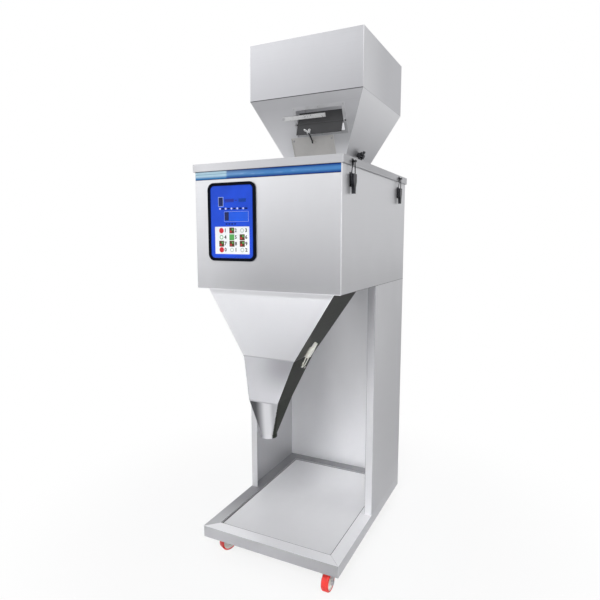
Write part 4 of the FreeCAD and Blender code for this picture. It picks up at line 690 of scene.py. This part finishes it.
frame_sheet = metal("frame_sheet", (0.62, 0.62, 0.63), 0.36, 0.6)
dress(frame_sheet, "valve_frame")
bright_steel = metal("bright_steel", (0.88, 0.88, 0.87), 0.3, 0.6)
cover_sheet = metal("cover_sheet", (0.70, 0.685, 0.66), 0.5, 0.4, wear=0.03)
dress(bright_steel, "catch_bar", "wing_nut")
dress(cover_sheet, "valve_cover_plate")
flap_grey = metal("flap_grey", (0.045, 0.045, 0.047), 0.5, 0.2)
dress(flap_grey, "valve_flap")
dark_steel = metal("dark_steel", (0.06, 0.06, 0.065), 0.25, 0.9, wear=0.5)
dress(dark_steel, "valve_stay", "knob_stud", "star_knob")


# Screws and rivets: low button heads with a hexagon socket hold the clear pane, the rear panel and
# the valve's cover, and plain rivets hold the valve's frame.

def add_head(mesh, place, out, radius, height, socket=True):
    """A low domed head standing on a surface that faces out."""
    turn = Matrix.Translation(place) @ out.to_track_quat("Z", "Y").to_matrix().to_4x4()
    steps = 24
    rings = [(1.0, 0.0), (1.0, 0.25), (0.92, 0.6), (0.74, 0.88), (0.52, 1.0)]
    if socket:
        rings += [(0.45, 1.0), (0.45, 0.4)]
    loops = []
    for share, rise in rings:
        loop = []
        for step in range(steps):
            angle = 2 * math.pi * step / steps
            reach = radius * share
            if share < 0.5:
                across_flat = (angle % (math.pi / 3)) - math.pi / 6
                reach *= math.cos(math.pi / 6) / math.cos(across_flat)
            loop.append(mesh.verts.new(turn @ Vector((reach * math.cos(angle), reach * math.sin(angle),
                                                      height * rise))))
        loops.append(loop)
    for lower, upper in zip(loops, loops[1:]):
        for step in range(steps):
            after = (step + 1) % steps
            mesh.faces.new((lower[step], lower[after], upper[after], upper[step]))
    mesh.faces.new(tuple(reversed(loops[0])))
    mesh.faces.new(tuple(loops[-1]))


screw_steel = metal("screw_steel", (0.50, 0.50, 0.51), 0.28, 0.95, wear=0.1)
pane_low, pane_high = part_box("inspection_pane")
panel_low, panel_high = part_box("rear_panel")
pane_margin, panel_margin = 0.009, 0.008
screw_height = 0.0022
screws = bmesh.new()
for x_place in (pane_low.x + pane_margin, (pane_low.x + pane_high.x) / 2, pane_high.x - pane_margin):
    for y_place in (pane_low.y + pane_margin, pane_high.y - pane_margin):
        place = Vector((x_place, y_place, pane_high.z))
        add_head(screws, place, Vector((0, 0, 1)), 0.0045, screw_height)
for x_place in (panel_low.x + panel_margin, (panel_low.x + panel_high.x) / 2, panel_high.x - panel_margin):
    for z_place in (panel_low.z + panel_margin, panel_high.z - panel_margin):
        place = Vector((x_place, panel_high.y, z_place))
        add_head(screws, place, Vector((0, 1, 0)), 0.004, screw_height)

slope_run, slope_fall = 0.4252, 0.9051
slope_place = Vector((0.0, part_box("hopper")[0].y, slope_fold))
slope_down = Vector((0.0, slope_run, -slope_fall))
slope_out = Vector((0.0, -slope_fall, -slope_run))


def on_slope(x_place, drop, height):
    """A place on the hopper's front slope: across, down the sheet and out of it."""
    return slope_place + Vector((x_place, 0, 0)) + slope_down * drop + slope_out * height


for x_place in (-0.068, 0.076):
    for drop in (0.150, 0.252):
        add_head(screws, on_slope(x_place, drop, 0.001), slope_out, 0.0035, 0.0018)
for x_place in (-0.0465, 0.0440, 0.1345):
    for drop in (0.0425, 0.1325):
        add_head(screws, on_slope(x_place, drop, 0.0015), slope_out, 0.0022, 0.0012, socket=False)
finished_piece("screws", screws, screw_steel, smooth=True)


# Toggle latches: pressed steel, one steel given a dark colour at the lid as painted shade and a bright one
# at the seam between funnel and outlet as painted light. The plates and hooks of both kinds are one node
# each, so their colour is painted bright below the body.

latch_steel = metal("latch_steel", (0.03, 0.03, 0.034), 0.22, 0.8, wear=0.6)
latch_steel.set("Specular IOR Level", 0.15)
latch_painted_bright = metal("latch_painted_bright", (0.97, 0.96, 0.88), 0.35, 0.15, wear=0.02)
x, y, z = latch_steel.place()
# Painted light: the plates and hooks turn bright below the body.
latch_steel.paint(z.ramp(0.9, 0.88), (0.90, 0.89, 0.82))
dress(latch_steel, "latch_plates", "latch_hooks")
for kind in ("lever", "bail"):
    dress(latch_steel, *[f"latch_{kind}_{i}" for i in range(1, 5)])
    dress(latch_painted_bright, *[f"latch_{kind}_{i}" for i in (5, 6)])


# Casters: zinc plated forks and stems, a cream moulded wheel centre and a red polyurethane tread.

zinc = metal("zinc_plate", (0.55, 0.55, 0.57), 0.3, 0.9, wear=0.12)
cream = moulded("cream_nylon", (0.88, 0.86, 0.80), 0.42, grain=500.0)
red_tread = moulded("red_tread", (0.80, 0.035, 0.025), 0.35, grain=700.0, mottle=0.1)
dress(zinc, "caster_stems")
for i in range(1, 5):
    dress(zinc, f"caster_fork_{i}")
    dress(cream, f"wheel_core_{i}")
    dress(red_tread, f"wheel_tread_{i}")


# Service side and the weigher inside: powder-coated frame, laminated magnet, blued leaf springs,
# machined aluminium at the load cell, smooth stainless where the product runs, black fittings.

grey_paint = moulded("grey_powder_coat", (0.30, 0.31, 0.32), 0.5, grain=1200.0, strength=0.2)
dress(grey_paint, "control_box", "inner_frame")
black_fitting = moulded("black_fitting", (0.014, 0.014, 0.016), 0.35)
dress(black_fitting, "power_inlet")
rocker_red = moulded("rocker_red", (0.5, 0.02, 0.02), 0.25, coat=0.3)
dress(rocker_red, "power_rocker")
dress(zinc, "foot_switch_socket")
iron = metal("laminated_iron", (0.09, 0.09, 0.095), 0.55, 0.7)
dress(iron, "feeder_magnet")
blued = metal("blued_spring", (0.12, 0.14, 0.2), 0.3)
dress(blued, "feeder_springs")
machined = metal("machined_aluminium", (0.72, 0.72, 0.73), 0.28)
dress(machined, "load_cell", "bucket_hanger")
product_steel = steel_finish("product_steel", (0.78, 0.78, 0.785), brushed_level, 0.25)
dress(product_steel, "weigh_bucket", "bucket_door_front", "bucket_door_back", "feeder_trough")


# Floor and backdrop: a pale studio floor that the casters' shadows fall on, in front of white.

stage_size = 14.0
floor_mesh = bmesh.new()
bmesh.ops.create_grid(floor_mesh, x_segments=1, y_segments=1, size=stage_size)
floor_data = bpy.data.meshes.new("studio_floor")
floor_mesh.to_mesh(floor_data)
floor_mesh.free()
floor = bpy.data.objects.new("studio_floor", floor_data)
bpy.context.scene.collection.objects.link(floor)

floor_finish = Finish("studio_floor")
floor_finish.set("Base Color", (0.88, 0.88, 0.88))
floor_finish.set("Roughness", 0.9)
floor_finish.set("Specular IOR Level", 0.0)
x, y, z = floor_finish.place()
far = ((x * x + y * y) ** 0.5).ramp(0.3, 1.3)
glow = floor_finish.tree.nodes.new("ShaderNodeEmission")
mixed = floor_finish.tree.nodes.new("ShaderNodeMixShader")
floor_finish.connect(mixed.inputs[0], floor_finish.rays("Camera") * (0.84 + 0.16 * far))
surface = floor_finish.tree.nodes["Material Output"].inputs["Surface"]
floor_finish.tree.links.new(floor_finish.shader.outputs[0], mixed.inputs[1])
floor_finish.tree.links.new(glow.outputs[0], mixed.inputs[2])
floor_finish.tree.links.new(mixed.outputs[0], surface)
floor_data.materials.append(floor_finish.material)

cool_white = (0.985, 0.99, 1.01)
world = bpy.data.worlds.new("studio")
bpy.context.scene.world = world
world.use_nodes = True
studio = Shading(world.node_tree)
x, y, z = studio.parts(studio.node("ShaderNodeTexCoord", {}, {}, "Generated"))
toward_key = (x * -0.72 + y * -0.62 + z * 0.3).ramp(0.1, 0.95)
mirrored = 0.72 + 0.2 * toward_key
strength = 0.5 + (mirrored - 0.5) * studio.rays("Glossy", "Transmission")
strength = strength + (1.0 - strength) * studio.rays("Camera")
sky = studio.blend(studio.rays("Camera"), cool_white, (1.0, 1.0, 1.0))
studio.connect(world.node_tree.nodes["Background"].inputs["Color"], sky)
studio.connect(world.node_tree.nodes["Background"].inputs["Strength"], strength)


# Studio lamps: a broad key from the front left, weaker fills from the right and low in front of the
# bay, a narrow one let in under the body on to the deck, and one overhead.

def area_lamp(name, place, target, size, power, spread=180):
    data = bpy.data.lights.new(name, "AREA")
    data.shape = "RECTANGLE"
    data.size, data.size_y = size
    data.energy = power
    data.spread = math.radians(spread)
    data.color = cool_white
    lamp = bpy.data.objects.new(name, data)
    lamp.location = place
    lamp.rotation_euler = (Vector(target) - Vector(place)).to_track_quat("-Z", "Y").to_euler()
    bpy.context.scene.collection.objects.link(lamp)


area_lamp("key_lamp", (-2.2, -2.6, 2.2), (0, 0, 1.0), (2.2, 2.8), 14)
area_lamp("fill_lamp", (3.2, -1.0, 1.6), (0, 0, 0.9), (2.0, 2.4), 12)
area_lamp("bay_lamp", (0.9, -2.8, 0.7), (0, 0.1, 0.4), (1.6, 1.0), 12)
area_lamp("deck_lamp", (0.5, -2.0, 2.05), (0.02, 0.12, 0.12), (0.8, 0.6), 1.75, spread=30)
area_lamp("top_lamp", (0, -0.4, 4.0), (0, 0, 0), (2.5, 2.5), 20)


# Camera: at chest height in front and to the right, turned as in the photograph.

eye = Vector((0.774469, -1.673994, 1.098271))
forward = Vector((-0.43950961, 0.88962323, -0.12410404))
sensor_width = 36.0
focal_pixels, picture_pixels = 506.346, 600
camera_data = bpy.data.cameras.new("camera")
camera_data.sensor_width = sensor_width
camera_data.lens = sensor_width * focal_pixels / picture_pixels
camera = bpy.data.objects.new("camera", camera_data)
camera.location = eye
camera.rotation_euler = forward.to_track_quat("-Z", "Y").to_euler()
bpy.context.scene.collection.objects.link(camera)
bpy.context.scene.camera = camera
bpy.context.scene.view_settings.view_transform = "Standard"
